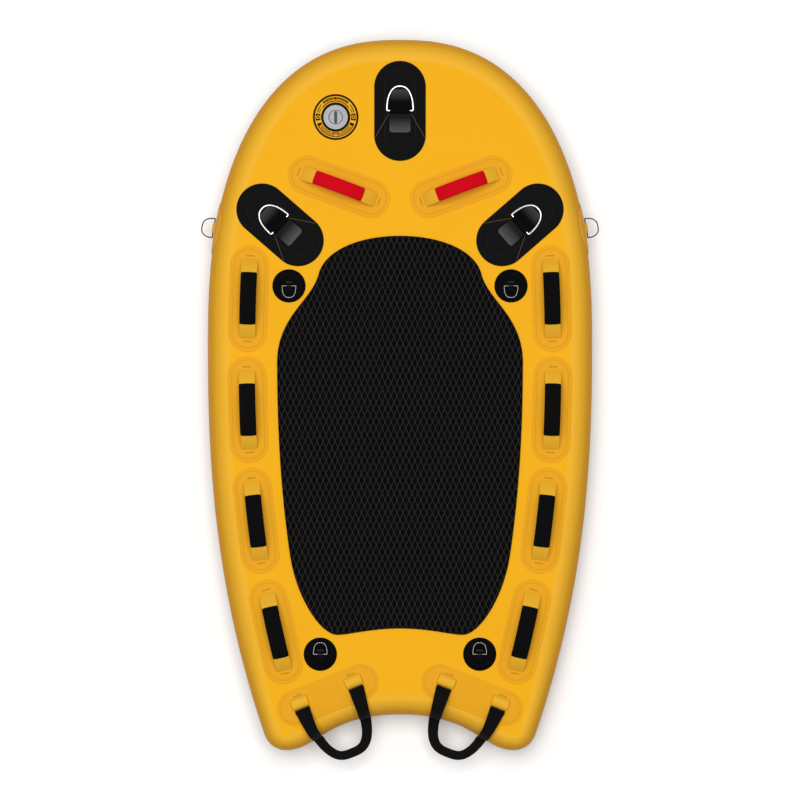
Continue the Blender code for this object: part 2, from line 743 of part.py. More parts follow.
def tail_strap_mesh():
    """The webbing loop and its two sewn end rolls. Its X axis is the line that it swings on."""
    half = COVER_SPACING / 2
    angles = np.linspace(0.0, math.pi, STRAP_STEPS + 1)
    power = 2 / STRAP_FULLNESS
    us = half * np.sign(np.cos(angles)) * np.abs(np.cos(angles)) ** power
    aft = STRAP_REACH * np.sin(angles) ** power
    share = aft / STRAP_REACH
    rise = STRAP_BULGE * np.sin(np.pi * np.minimum(share * STRAP_DROOP, 1.0))
    middle = np.column_stack([us, -aft, rise])
    along = np.gradient(middle[:, :2], axis=0)
    along /= np.linalg.norm(along, axis=1)[:, None]
    out = np.column_stack([along[:, 1], -along[:, 0], np.zeros(len(us))])
    up = np.array([0.0, 0.0, STRAP_THICKNESS / 2])
    wide = out * STRAP_WIDTH / 2
    wide[0] = (-STRAP_WIDTH / 2, 0.0, 0.0)
    wide[-1] = (STRAP_WIDTH / 2, 0.0, 0.0)
    corners = [middle + wide + up, middle + wide - up, middle - wide - up, middle - wide + up]
    shape = bmesh.new()
    rows = [[shape.verts.new(corner[i]) for corner in corners] for i in range(len(us))]
    for low, high in zip(rows, rows[1:]):
        bridge(shape, low, high)
    shape.faces.new(rows[0])
    shape.faces.new(rows[-1])
    bmesh.ops.recalc_face_normals(shape, faces=shape.faces[:])
    rolls = []
    for side in (-1, 1):
        disc = arc((0.0, 0.0), ROLL_RADIUS, 0.0, 2 * math.pi, ROLL_STEPS)[:-1]
        low = side * half - STRAP_WIDTH / 2 - SINK
        rolls.append(extruded(disc, low, low + STRAP_WIDTH + 2 * SINK, axes=(1, 2, 0)))
    return mesh_of(combined(mesh_of(shape, "strap"), mesh_of(merged(rolls), "rolls"), "UNION"), "strap")


def tail_handles():
    patch = tail_patch_mesh()
    strap = tail_strap_mesh()
    back = COVER_FORWARD - COVER_DEPTH / 2 - GAP - ROLL_RADIUS
    up = PATCH_WALL + PATCH_STEP + GAP + ROLL_RADIUS
    for side, hand in ((-1, "left"), (1, "right")):
        frame = tail_frame(side)
        add(f"tail_handle_{hand}_patch", patch, "patch_yellow", 0.5, frame)
        add(f"tail_handle_{hand}_strap", strap, "webbing", 0.85, frame @ Matrix.Translation((0, back, up)))


class RingSet:
    """A D-ring on its patch: the ring's outside size and wire, and the folded webbing that holds its bar."""

    def __init__(self, sizes):
        self.width, self.length, self.wire = sizes["width"], sizes["length"], sizes["wire"]
        self.tab, self.foot, self.wall = sizes["tab"], sizes["foot"], sizes["wall"]
        self.sides = sizes["sides"]
        self.radius = self.wire / 2
        self.bar_height = self.wall + GAP + self.radius

    def ring_mesh(self):
        """A D: the bar on the X axis, two arms, and a half-round crown towards +Y."""
        half = self.width / 2 - self.radius
        crown = self.length - self.wire
        corner = self.wire * RING_CORNER
        points = [(-half, corner), (-half + corner, 0.0), (half - corner, 0.0), (half, corner)]
        points += arc((0.0, crown - half), half, 0.0, math.pi, RING_STEPS)
        return tube([(x, y, 0.0) for x, y in points], self.radius, self.sides, True)

    def tab_shape(self, sink):
        """The webbing folded over the bar like a tent. The bar's middle is bar_height above the foot."""
        inner = self.radius + GAP
        outer = inner + self.wall
        rise = self.bar_height
        over = arc((0.0, rise), outer, math.pi - TAB_OPENING, TAB_OPENING, TAB_STEPS)
        under = arc((0.0, rise), inner, TAB_OPENING, math.pi - TAB_OPENING, TAB_STEPS)
        feet, edge = TAB_FEET * self.wall, TAB_EDGE * self.wall
        outline = [(-self.foot, -sink), (-self.foot, edge)] + over
        outline += [(self.foot, edge), (self.foot, -sink), (self.foot - feet, -sink)] + under
        outline.append((-self.foot + feet, -sink))
        return extruded(outline, -self.tab / 2, self.tab / 2, axes=(1, 2, 0))


TOW_RING = RingSet(TOW_RING_SIZES)
TOW_RING.bar_height = TOW_PEAK - TOW_RING.wall - GAP - TOW_RING.radius
DECK_RING = RingSet(DECK_RING_SIZES)
RAIL_RING = RingSet(RAIL_RING_SIZES)
HULL_RING = RingSet(HULL_RING_SIZES)


def rest_angle(rings, height, floor):
    """How far a ring tips down from its bar until its crown lies just over the floor."""
    crown = rings.length - rings.wire
    return math.asin((height - floor - rings.radius - GAP) / crown)


def tow_point(name, x, y, angle):
    """A tow point: its pad, the folded webbing and the ring, whose crown points along +Y of its frame."""
    place = turned_place(x, y, angle, DECK + GAP + lift(y))
    outline = [(b, a) for a, b in stadium(TOW_PAD_LENGTH, TOW_PAD_WIDTH)][::-1]
    pad = plate(outline, PAD_WALL, TOW_PAD_SEAM, PAD_STEP)
    add(f"{name}_pad", mesh_of(rock(pad, place), "pad"), "black", 0.4, place)
    top = place @ Matrix.Translation((0, 0, PAD_WALL + PAD_STEP + GAP))
    add(f"{name}_webbing", mesh_of(rock(TOW_RING.tab_shape(0.0), top), "webbing"), "webbing", 0.8, top)
    bar = top @ Matrix.Translation((0, 0, TOW_RING.bar_height))
    crown = TOW_RING.length - TOW_RING.wire
    ahead = y + crown * math.cos(angle)
    climb = lift(ahead) - lift(y)
    tip = rest_angle(TOW_RING, TOW_RING.bar_height - climb, -GAP)
    add(f"{name}_ring", TOW_RING.ring_mesh(), "steel", 0.15, bar @ Matrix.Rotation(-tip, 4, "X"), 1.0)


def tow_points():
    tow_point("tow_nose", 0.0, station(TOW_NOSE_STATION), 0.0)
    for side, hand in ((-1, "left"), (1, "right")):
        angle = -side * (math.pi / 2 - TOW_TURN)
        tow_point(f"tow_{hand}", side * TOW_SIDE_SIDE * HALF, station(TOW_SIDE_STATION), angle)


def ring_patch_mesh(rings, outline, seam):
    """A welded pad with the ring's folded webbing standing on its middle."""
    base = plate(outline, PAD_WALL, seam, PAD_STEP)
    tab = rings.tab_shape(SINK)
    bmesh.ops.translate(tab, verts=tab.verts[:], vec=(0, 0, PAD_WALL + PAD_STEP))
    return mesh_of(combined(mesh_of(base, "base"), mesh_of(tab, "tab"), "UNION"), "patch")


def add_ring_set(name, rings, patch, place, color, tip):
    """A patch at its place and the ring on its bar, tipped down towards the patch or hanging free."""
    add(f"{name}_patch", patch, color, 0.45, place)
    bar = place @ Matrix.Translation((0, 0, PAD_WALL + PAD_STEP + rings.bar_height))
    add(f"{name}_ring", rings.ring_mesh(), "steel", 0.15, bar @ Matrix.Rotation(-tip, 4, "X"), 1.0)


def deck_rings():
    """Four round patches: the front pair's rings point aft, and the rear pair's to the nose."""
    outline = arc((0.0, 0.0), ROUND_DIAMETER / 2, 0.0, 2 * math.pi, ROUND_STEPS)[:-1]
    patch = ring_patch_mesh(DECK_RING, outline, ROUND_SEAM)
    tip = rest_angle(DECK_RING, DECK_RING.bar_height, 0.0)
    rows = (
        ("front", ROUND_FRONT_STATION, round_front_x(), math.pi),
        ("rear", ROUND_REAR_STATION, ROUND_REAR_SIDE * HALF, 0.0),
    )
    for row, along, x, turn in rows:
        for side, hand in ((-1, "left"), (1, "right")):
            place = turned_place(side * x, station(along), turn, DECK + GAP)
            add_ring_set(f"deck_ring_{row}_{hand}", DECK_RING, patch, place, "black", tip)


def hull_rings():
    """Two oval pads under the board, their rings towards the nose."""
    outline = [(b, a) for a, b in stadium(HULL_PAD_LENGTH, HULL_PAD_WIDTH)][::-1]
    patch = ring_patch_mesh(HULL_RING, outline, HULL_PAD_SEAM)
    tip = rest_angle(HULL_RING, HULL_RING.bar_height, 0.0)
    y = station(HULL_RING_STATION)
    for side, hand in ((-1, "left"), (1, "right")):
        under = Matrix.Rotation(math.pi, 4, "Y")
        place = Matrix.Translation((side * HULL_RING_SIDE * HALF, y, -GAP)) @ under
        add_ring_set(f"hull_ring_{hand}", HULL_RING, patch, place, "black", tip)


def rail_frame(side):
    """A frame on the rail's widest line: X along the rail, Z square out of it."""
    y = station(RAIL_RING_STATION)
    x, lean = rail_at(y)
    out = Vector((side * math.cos(lean), math.sin(lean), 0.0))
    along = Vector((0.0, 0.0, 1.0)).cross(out)
    frame = Matrix((along, out.cross(along), out)).transposed().to_4x4()
    frame.translation = Vector((side * x, y, THICKNESS / 2 + lift(y))) + out * GAP
    return frame


def rail_patch_mesh():
    """A round patch that wraps the rail: each point lies back by what the section has turned away."""
    outline = arc((0.0, 0.0), RAIL_PATCH_DIAMETER / 2, 0.0, 2 * math.pi, ROUND_STEPS)[:-1]
    base = extruded(outline, 0.0, PAD_WALL)
    for level in np.linspace(-0.5, 0.5, RAIL_PATCH_CUTS + 1)[1:-1] * RAIL_PATCH_DIAMETER:
        whole = base.verts[:] + base.edges[:] + base.faces[:]
        bmesh.ops.bisect_plane(base, geom=whole, dist=WELD, plane_co=(0, level, 0), plane_no=(0, 1, 0))
    for vert in base.verts:
        up = abs(vert.co.y) / (THICKNESS / 2)
        vert.co.z -= RAIL_REACH * (1 - (1 - up**RAIL_FULLNESS) ** (1 / RAIL_FULLNESS))
    tab = RAIL_RING.tab_shape(SINK)
    bmesh.ops.translate(tab, verts=tab.verts[:], vec=(0, 0, PAD_WALL))
    return mesh_of(combined(mesh_of(base, "base"), mesh_of(tab, "tab"), "UNION"), "patch")


def rail_rings():
    """A ring on each rail. At rest it hangs half-way down."""
    patch = rail_patch_mesh()
    for side, hand in ((-1, "left"), (1, "right")):
        place = rail_frame(side)
        add(f"rail_ring_{hand}_patch", patch, "orange", 0.45, place)
        bar = place @ Matrix.Translation((0, 0, PAD_WALL + RAIL_RING.bar_height))
        hang = bar @ Matrix.Rotation(math.pi / 2 + RAIL_RING_DROOP, 4, "X")
        add(f"rail_ring_{hand}_ring", RAIL_RING.ring_mesh(), "steel", 0.15, hang, 1.0)


def valve_pieces(place, hollow):
    """The valve: body through the deck, gasket and nut, sprung stem and twist cap. Z=0 is the deck's top."""
    seat = GAP + GASKET_WALL + GAP
    top = seat + FLANGE_WALL
    floor = -VALVE_DEPTH + FLOOR_WALL
    well = [
        (VALVE_BORE, top), (FLANGE_RADIUS - SINK, top), (FLANGE_RADIUS, top - SINK), (FLANGE_RADIUS, seat),
        (VALVE_TUBE, seat), (VALVE_TUBE, -VALVE_DEPTH), (STEM_RADIUS + GAP, -VALVE_DEPTH),
        (STEM_RADIUS + GAP, floor), (VALVE_BORE, floor),
    ]
    vents = []
    for i in range(VENT_COUNT):
        angle = 2 * math.pi * i / VENT_COUNT
        middle = (VENT_RING * math.cos(angle), VENT_RING * math.sin(angle))
        circle = arc(middle, VENT_RADIUS, 0.0, 2 * math.pi, VENT_COUNT)[:-1]
        vents.append(extruded(circle, -VALVE_DEPTH - FLOOR_WALL, floor + FLOOR_WALL))
    body = combined(turned(well), mesh_of(merged(vents), "vents"), "DIFFERENCE")
    add("valve_body", mesh_of(body, "body"), "black", 0.4, place)
    inner = VALVE_TUBE + GAP
    outer = FLANGE_RADIUS - SINK
    gasket = [(inner, seat - GAP), (outer, seat - GAP), (outer, GAP), (inner, GAP)]
    add("valve_gasket", turned(gasket), "black", 0.9, place)
    under = -(hollow + SKIN_WALL + GAP + CORE_WALL + GAP)
    nut = [(inner, under), (NUT_RADIUS, under), (NUT_RADIUS, under - NUT_WALL), (inner, under - NUT_WALL)]
    add("valve_nut", turned(nut), "black", 0.5, place)
    poppet_top = -VALVE_DEPTH - GAP
    button = floor + GAP + SPRING_SPACE + GAP
    stem = [
        (0, button + BUTTON_WALL), (BUTTON_RADIUS, button + BUTTON_WALL), (BUTTON_RADIUS, button),
        (STEM_RADIUS, button), (STEM_RADIUS, poppet_top), (POPPET_RADIUS, poppet_top),
        (POPPET_RADIUS, poppet_top - POPPET_WALL), (0, poppet_top - POPPET_WALL),
    ]
    add("valve_stem", turned(stem, STEM_STEPS), "white", 0.4, place)
    spring_pieces(place, floor + GAP + SPRING_WIRE)
    valve_cap(place, top + GAP)


def spring_pieces(place, low):
    """The coil between the valve's floor and the stem's button."""
    count = SPRING_TURNS * SPRING_STEPS
    climb = SPRING_SPACE - 2 * SPRING_WIRE
    points = []
    for i in range(count + 1):
        angle = 2 * math.pi * i / SPRING_STEPS
        height = low + climb * i / count
        points.append((SPRING_RADIUS * math.cos(angle), SPRING_RADIUS * math.sin(angle), height))
    add("valve_spring", tube(points, SPRING_WIRE, 1, False), "steel", 0.3, place, 1.0)


def valve_cap(place, low):
    """The twist cap: a disc with a plug skirt, a grip bar and a curved scoop on each side of it."""
    high = low + CAP_WALL
    plug = VALVE_BORE - GAP
    inner, roof = plug - CAP_SKIRT_WALL, low + CAP_HOLLOW
    profile = [
        (0, high), (CAP_RADIUS - CAP_BEVEL, high), (CAP_RADIUS, high - CAP_BEVEL), (CAP_RADIUS, low), (plug, low),
        (plug, low - CAP_SKIRT), (inner, low - CAP_SKIRT), (inner, roof), (0, roof),
    ]
    scoops = []
    for turn in (0.0, math.pi):
        first, last = turn - CAP_SCOOP_TURN, turn + CAP_SCOOP_TURN
        outline = arc((0.0, 0.0), CAP_SCOOP_OUT, first, last, CAP_SCOOP_STEPS)
        outline += arc((0.0, 0.0), CAP_SCOOP_IN, last, first, CAP_SCOOP_STEPS)
        scoops.append(extruded(outline, high - CAP_SCOOP_DEPTH, high + CAP_WALL))
    cut = combined(turned(profile), mesh_of(merged(scoops), "scoops"), "DIFFERENCE")
    outline = [(a, b) for b, a in stadium(CAP_BAR_LENGTH, CAP_BAR_WIDTH)][::-1]
    bar = extruded(outline, high - SINK, high + CAP_BAR_HEIGHT)
    shape = combined(mesh_of(cut, "cut"), mesh_of(bar, "bar"), "UNION")
    add("valve_cap", mesh_of(shape, "cap"), "grey", 0.35, place)


def build():
    valve, hollow = surface_frame(VALVE_SIDE * HALF, station(VALVE_STATION), FLANGE_RADIUS)
    board_pieces(valve)
    traction_pad()
    grab_handles()
    tail_handles()
    tow_points()
    deck_rings()
    rail_rings()
    hull_rings()
    valve_pieces(valve, hollow)


build()
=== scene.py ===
"""Inflatable rescue board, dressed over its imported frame.

The board lies flat, hull down, with its nose towards +Y and +Z up, in metres, as the frame does.
"""

import json
import logging
import math
from dataclasses import dataclass, field
from enum import Enum
from typing import Callable, Sequence

import bmesh
import bpy
import numpy as np
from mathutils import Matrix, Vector


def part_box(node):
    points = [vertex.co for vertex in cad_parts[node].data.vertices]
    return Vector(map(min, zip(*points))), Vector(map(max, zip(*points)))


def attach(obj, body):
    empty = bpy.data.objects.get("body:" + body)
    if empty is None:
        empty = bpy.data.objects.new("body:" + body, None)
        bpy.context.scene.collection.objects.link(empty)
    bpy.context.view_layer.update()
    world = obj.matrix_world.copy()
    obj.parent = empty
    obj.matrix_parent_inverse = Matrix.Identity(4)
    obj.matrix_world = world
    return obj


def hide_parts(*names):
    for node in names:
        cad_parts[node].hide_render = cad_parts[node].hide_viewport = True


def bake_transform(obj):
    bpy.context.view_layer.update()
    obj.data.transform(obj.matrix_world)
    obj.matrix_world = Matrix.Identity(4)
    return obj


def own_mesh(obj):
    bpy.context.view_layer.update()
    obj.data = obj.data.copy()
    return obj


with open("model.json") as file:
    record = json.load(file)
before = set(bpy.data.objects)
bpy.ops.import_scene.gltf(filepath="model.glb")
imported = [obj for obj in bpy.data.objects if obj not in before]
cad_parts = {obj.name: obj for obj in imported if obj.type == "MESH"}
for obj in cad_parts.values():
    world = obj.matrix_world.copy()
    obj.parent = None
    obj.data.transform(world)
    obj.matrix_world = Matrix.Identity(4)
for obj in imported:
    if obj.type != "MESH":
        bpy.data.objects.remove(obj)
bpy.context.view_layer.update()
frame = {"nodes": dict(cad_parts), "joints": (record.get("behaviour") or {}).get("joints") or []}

Array = np.ndarray
Color = tuple[float, float, float]
Pairs = Sequence[tuple[float, float]]

log = logging.getLogger("rescue_board")

WELD = 0.000002
GAP = 0.0003
ACROSS = np.array([1.0, 0.0, 0.0])
AHEAD = np.array([0.0, 1.0, 0.0])
UP = np.array([0.0, 0.0, 1.0])
JOINTS = {joint["name"]: joint for joint in frame["joints"]}


class Hand(Enum):
    """The two sides of the board, seen from above with the nose ahead."""

    LEFT = -1
    RIGHT = 1

    @property
    def word(self) -> str:
        """The word that the frame's names use."""
        return self.name.lower()


# ---- Surfaces worked out as grids


def linear(red: int, green: int, blue: int) -> Color:
    """A screen's colour of 0 to 255 as linear values, by the sRGB curve turned back."""
    tones = np.array([red, green, blue]) / 255
    return tuple(float(t) for t in np.where(tones <= 0.04045, tones / 12.92, ((tones + 0.055) / 1.055) ** 2.4))


def unit(ways: Array) -> Array:
    """Each way at length 1."""
    return ways / np.linalg.norm(ways, axis=-1, keepdims=True)


def circle_angles(count: int) -> Array:
    """Even angles round a circle, without the last, which is the first again."""
    return np.linspace(0.0, 2 * np.pi, count, endpoint=False)


def travel(line: Array) -> Array:
    """The running length at each point of a polyline."""
    return np.concatenate([[0.0], np.cumsum(np.linalg.norm(np.diff(line, axis=0), axis=1))])


def raised(plan: Array, heights: Array) -> Array:
    """A grid of X and Y with one height a row, as a grid of points."""
    return np.concatenate([plan, np.broadcast_to(heights[:, None, None], (*plan.shape[:2], 1))], axis=-1)


def mirrored(right: Array) -> tuple[Array, Array]:
    """A closed outline from its right half, and its unit normals, which point outwards.

    Args:
        right: The right half, from the front to the rear.

    Returns:
        The outline and its normals.
    """
    line = np.vstack([right, right[-2:0:-1] * (-1, 1)])
    along = unit(np.roll(line, -1, axis=0) - np.roll(line, 1, axis=0))
    return line, np.column_stack([-along[:, 1], along[:, 0]])


def superellipse(angle: Array, power: float) -> tuple[Array, Array]:
    """A unit superellipse: signed cosine and sine, each to the power 2 / power. A power of 2 gives a circle."""
    c, s = np.cos(angle), np.sin(angle)
    return np.sign(c) * np.abs(c) ** (2 / power), np.sign(s) * np.abs(s) ** (2 / power)


def resampled(points: Array, count: int, closed: bool = False) -> Array:
    """Points at even steps of length along a polyline.

    Args:
        points: The polyline, one row a point.
        count: How many points come back.
        closed: Whether the last point joins the first. The first isn't repeated then.

    Returns:
        The new points.
    """
    line = np.vstack([points, points[:1]]) if closed else points
    reach = travel(line)
    wanted = np.linspace(0.0, reach[-1], count + 1)[:-1] if closed else np.linspace(0.0, reach[-1], count)
    return np.column_stack([np.interp(wanted, reach, line[:, k]) for k in range(line.shape[1])])


def bezier(controls: Pairs, count: int) -> Array:
    """A cubic curve: each of four controls weighed by its Bernstein polynomial.

    Args:
        controls: The start, two pulls and the end.
        count: How many points come back, both ends among them.

    Returns:
        The points, one row each.
    """
    t = np.linspace(0.0, 1.0, count)[:, None]
    weights = ((1 - t) ** 3, 3 * (1 - t) ** 2 * t, 3 * (1 - t) * t**2, t**3)
    return sum(weight * np.array(control) for weight, control in zip(weights, controls))


def arc(centre: tuple[float, float], radius: float, start: float, end: float, count: int) -> Array:
    """Points on a circle: centre + radius * (cosine, sine), from one angle in degrees to another."""
    turn = np.radians(np.linspace(start, end, count))
    return np.array(centre) + radius * np.column_stack([np.cos(turn), np.sin(turn)])


@dataclass
class Skin:
    """One or more grids of points, gathered into one mesh."""

    points: list[Array] = field(default_factory=list)
    faces: list[Array] = field(default_factory=list)
    uvs: list[Array] = field(default_factory=list)
    total: int = 0

    def grid(
        self, points: Array, rows_close: bool = False, columns_close: bool = False, plan: Array | None = None
    ) -> "Skin":
        """Adds a grid. Each point joins its neighbours in quads, and a closed way wraps round.

        Args:
            points: Rows by columns by three.
            rows_close: Whether the last row joins the first.
            columns_close: Whether the last column joins the first.
            plan: Rows by columns by two, used as the UV. Left out, running lengths are used.

        Returns:
            The same skin, so that calls can follow each other.
        """
        wraps = plan is not None
        uv = plan if wraps else running_lengths(points)
        if rows_close:
            points = np.concatenate([points, points[:1]])
            uv = np.concatenate([uv, uv[:1] if wraps else 2 * uv[-1:] - uv[-2:-1]])
        if columns_close:
            points = np.concatenate([points, points[:, :1]], axis=1)
            uv = np.concatenate([uv, uv[:, :1] if wraps else 2 * uv[:, -1:] - uv[:, -2:-1]], axis=1)
        rows, columns = points.shape[:2]
        i, j = np.meshgrid(np.arange(rows - 1), np.arange(columns - 1), indexing="ij")
        first = i * columns + j
        quads = np.stack([first, first + columns, first + columns + 1, first + 1], axis=-1).reshape(-1, 4)
        self.points.append(points.reshape(-1, 3))
        self.faces.append(quads + self.total)
        self.uvs.append(uv.reshape(-1, 2)[quads.ravel()])
        self.total += rows * columns
        return self

    def join(self, *others: "Skin") -> "Skin":
        """Takes in other skins' grids.

        Args:
            others: The other skins.

        Returns:
            The same skin.
        """
        for other in others:
            self.points += other.points
            self.faces += [part + self.total for part in other.faces]
            self.uvs += other.uvs
            self.total += other.total
        return self

    def moved(self, place: Callable[[Array], Array]) -> "Skin":
        """Carries every array of points through a function and returns the same skin."""
        self.points = [place(part) for part in self.points]
        return self

    def mesh(self, name: str, sharp: float = 40.0) -> bpy.types.Mesh:
        """The mesh: doubles merged, faces turned outwards, smooth apart from sharp edges.

        Args:
            name: The mesh's name.
            sharp: The angle in degrees past which an edge stays sharp.

        Returns:
            The mesh with its UV map.
        """
        mesh = bpy.data.meshes.new(name)
        points, faces = np.concatenate(self.points), np.concatenate(self.faces)
        mesh.vertices.add(len(points))
        mesh.vertices.foreach_set("co", points.astype(np.float32).ravel())
        mesh.loops.add(faces.size)
        mesh.loops.foreach_set("vertex_index", faces.astype(np.int32).ravel())
        mesh.polygons.add(len(faces))
        mesh.polygons.foreach_set("loop_start", np.arange(len(faces), dtype=np.int32) * 4)
        mesh.uv_layers.new(name="Lengths").data.foreach_set("uv", np.concatenate(self.uvs).astype(np.float32).ravel())
        mesh.update(calc_edges=True)
        shape = bmesh.new()
        shape.from_mesh(mesh)
        bmesh.ops.remove_doubles(shape, verts=shape.verts[:], dist=WELD)
        bmesh.ops.recalc_face_normals(shape, faces=shape.faces[:])
        shape.to_mesh(mesh)
        shape.free()
        mesh.shade_smooth()
        mesh.set_sharp_from_angle(angle=math.radians(sharp))
        return mesh


def spine(y: Array, level: float) -> Array:
    """Places on a centreline for an edge's points: their own Y above a level, then steps that grow to the last.

    Args:
        y: The Y of the edge's points, from the front round one side to the rear.
        level: Where the steps begin. They follow the square of the share of points passed.

    Returns:
        One Y a point, always falling, for both sides of the outline.
    """
    split = int(np.argmax(y < level))
    share = np.linspace(0.0, 1.0, len(y) - split + 1)[1:] ** 2
    right = np.concatenate([y[:split], y[split - 1] + (y[-1] - y[split - 1]) * share])
    return np.concatenate([right, right[-2:0:-1]])


def running_lengths(points: Array) -> Array:
    """Running lengths along the columns and down the rows of a grid.

    Args:
        points: Rows by columns by three.

    Returns:
        Rows by columns by two, in metres.
    """
    out = np.zeros((*points.shape[:2], 2))
    out[:, 1:, 0] = np.cumsum(np.linalg.norm(np.diff(points, axis=1), axis=2).max(axis=0))[None]
    out[1:, :, 1] = np.cumsum(np.linalg.norm(np.diff(points, axis=0), axis=2).max(axis=1))[:, None]
    return out


def tube(path: Array, radius: float, sides: int, closed: bool, normal: Array) -> Skin:
    """A round wire: each path point + radius * (cosine across the path, sine along the normal).

    Args:
        path: The wire's middle line.
        radius: Half the wire's thickness.
        sides: Points round the wire.
        closed: Whether the wire joins itself. An open one closes to a point at each end.
        normal: A unit vector square to most of the path.

    Returns:
        The wire's skin.
    """
    along = np.roll(path, -1, axis=0) - np.roll(path, 1, axis=0) if closed else np.gradient(path, axis=0)
    across = unit(np.cross(along, normal))
    turn = circle_angles(sides)
    circle = np.cos(turn)[None, :, None] * across[:, None] + np.sin(turn)[None, :, None] * normal
    size = np.full(len(path), radius)
    if not closed:
        path, circle, size = (np.concatenate([part[:1], part, part[-1:]]) for part in (path, circle, size))
        size[[0, -1]] = 0.0
    return Skin().grid(path[:, None] + circle * size[:, None, None], rows_close=closed, columns_close=True)


def ribbon(path: Array, across: Array, up: Array, width: Array | float, wall: float, power: float = 7.0) -> Skin:
    """A flat band along a path. Its section is a superellipse, width by wall, and its ends are closed.

    Args:
        path: The middle line, one row a point.
        across: Unit vectors over the band's width, one a point or one for all.
        up: Unit vectors over its thickness, one a point or one for all.
        width: The band's width, one a point or one for all.
        wall: The band's thickness.
        power: How square the section's corners are.

    Returns:
        The band's skin, with (across, along) as its UV.
    """
    first, second = superellipse(circle_angles(32), power)
    across, up = (np.broadcast_to(way, path.shape)[:, None] for way in (across, up))
    wide = first[None, :] * (np.broadcast_to(width, len(path)) / 2)[:, None]
    body = path[:, None] + wide[..., None] * across + second[None, :, None] * up * wall / 2
    plan = np.stack([wide, np.broadcast_to(travel(path)[:, None], wide.shape)], axis=-1)
    start, end = (np.broadcast_to(point, body[:1].shape) for point in (path[0], path[-1]))
    plan = np.concatenate([plan[:1] * (0, 1), plan, plan[-1:] * (0, 1)])
    return Skin().grid(np.concatenate([start, body, end]), columns_close=True, plan=plan)


def turned(profile: Array | Pairs, sides: int = 72) -> Skin:
    """A profile of (radius, height) turned round the Z axis.

    Args:
        profile: Points from one pole to the other, or a closed loop's points where the first is off the axis.
        sides: Points round the axis.

    Returns:
        The turned skin, with plan coordinates as its UV.
    """
    line = np.array(profile, dtype=float)
    turn = circle_angles(sides)
    plan = line[:, :1, None] * np.stack([np.cos(turn), np.sin(turn)], axis=-1)[None]
    return Skin().grid(raised(plan, line[:, 1]), rows_close=bool(line[0, 0] > 0), columns_close=True, plan=plan)


def rounded(corners: Pairs, radius: float, steps: int = 4) -> Array:
    """A profile with rounded corners: each becomes a quadratic curve between two points near it.

    Args:
        corners: The corners in order.
        radius: How far from a corner the curve starts, at most half of a side.
        steps: Pieces in each curve.

    Returns:
        The rounded profile, its first and last points kept.
    """
    line = [np.array(point, dtype=float) for point in corners]
    out = [line[0][None]]
    t = np.linspace(0.0, 1.0, steps + 1)[:, None]
    for before, corner, after in zip(line, line[1:], line[2:]):
        back, ahead = before - corner, after - corner
        cut = [min(radius, np.linalg.norm(way) / 2) / np.linalg.norm(way) for way in (back, ahead)]
        start, end = corner + back * cut[0], corner + ahead * cut[1]
        out.append((1 - t) ** 2 * start + 2 * (1 - t) * t * corner + t**2 * end)
    return np.concatenate([*out, line[-1][None]])


def divided(line: Array, most: float) -> Array:
    """A profile with points added evenly, so that no side is longer than most.

    Args:
        line: The profile.
        most: The longest side that may stay.

    Returns:
        The profile with its new points.
    """
    counts = np.maximum(np.ceil(np.linalg.norm(np.diff(line, axis=0), axis=1) / most), 1).astype(int)
    parts = [a + (b - a) * np.linspace(0.0, 1.0, n + 1)[:-1, None] for a, b, n in zip(line, line[1:], counts)]
    return np.vstack([*parts, line[-1:]])


@dataclass(frozen=True)
class Stadium:
    """A patch outline with half-round ends along its first axis. Equal sizes make it round."""

    length: float
    width: float
    around: int = 120

    @property
    def reach(self) -> float:
        """Half the length of the middle line."""
        return (self.length - self.width) / 2

    def sweep(self, profile: Array | Pairs) -> Skin:
        """Carries a profile round: middle line + outward direction * (half width - inset), at its height.

        Args:
            profile: Pairs of inset and height, over the top from the middle and back under. Half the width
                is the middle line.

        Returns:
            The patch's skin, with plan coordinates as its UV.
        """
        line = np.array(profile, dtype=float)
        quarter = self.around // 4
        turn = np.radians(np.linspace(-90.0, 90.0, 2 * quarter))
        side = np.linspace(1.0, -1.0, max(int(quarter * self.reach / self.width), 1) + 1)[1:-1]
        middle = np.concatenate([np.ones(2 * quarter), side, -np.ones(2 * quarter), -side]) * self.reach
        flat = np.full(len(side), np.pi / 2)
        angle = np.concatenate([turn, flat, turn + np.pi, flat + np.pi])
        radius = (self.width / 2 - line[:, 0])[:, None]
        plan = np.stack([middle + radius * np.cos(angle), radius * np.sin(angle)], axis=-1)
        return Skin().grid(raised(plan, line[:, 1]), columns_close=True, plan=plan)

    def fabric(self, seam: float, wall: float, step: float) -> Skin:
        """A welded patch with this outline: a raised middle, and a thinner border as wide as the seam."""
        return self.sweep(patch_profile(self.width / 2, seam, wall, step))


def patch_profile(half: float, seam: float, wall: float, step: float, soft: float = 0.0006) -> Array:
    """A patch's section from its middle to its middle again: a raised middle, a slope at the seam, a thin edge.

    Args:
        half: Half the patch's width.
        seam: The width of the thinner border.
        wall: The border's thickness.
        step: How much thicker the middle is.
        soft: How rounded the corners are.

    Returns:
        Pairs of inset and height.
    """
    top = wall + step
    corners = [(half, top), (seam + 0.001, top), (seam - 0.001, wall), (0.0, wall), (0.0, 0.0), (half, 0.0)]
    return divided(rounded(corners, soft, 3), 0.006)


# ---- The board's form, the same formulas as in the part


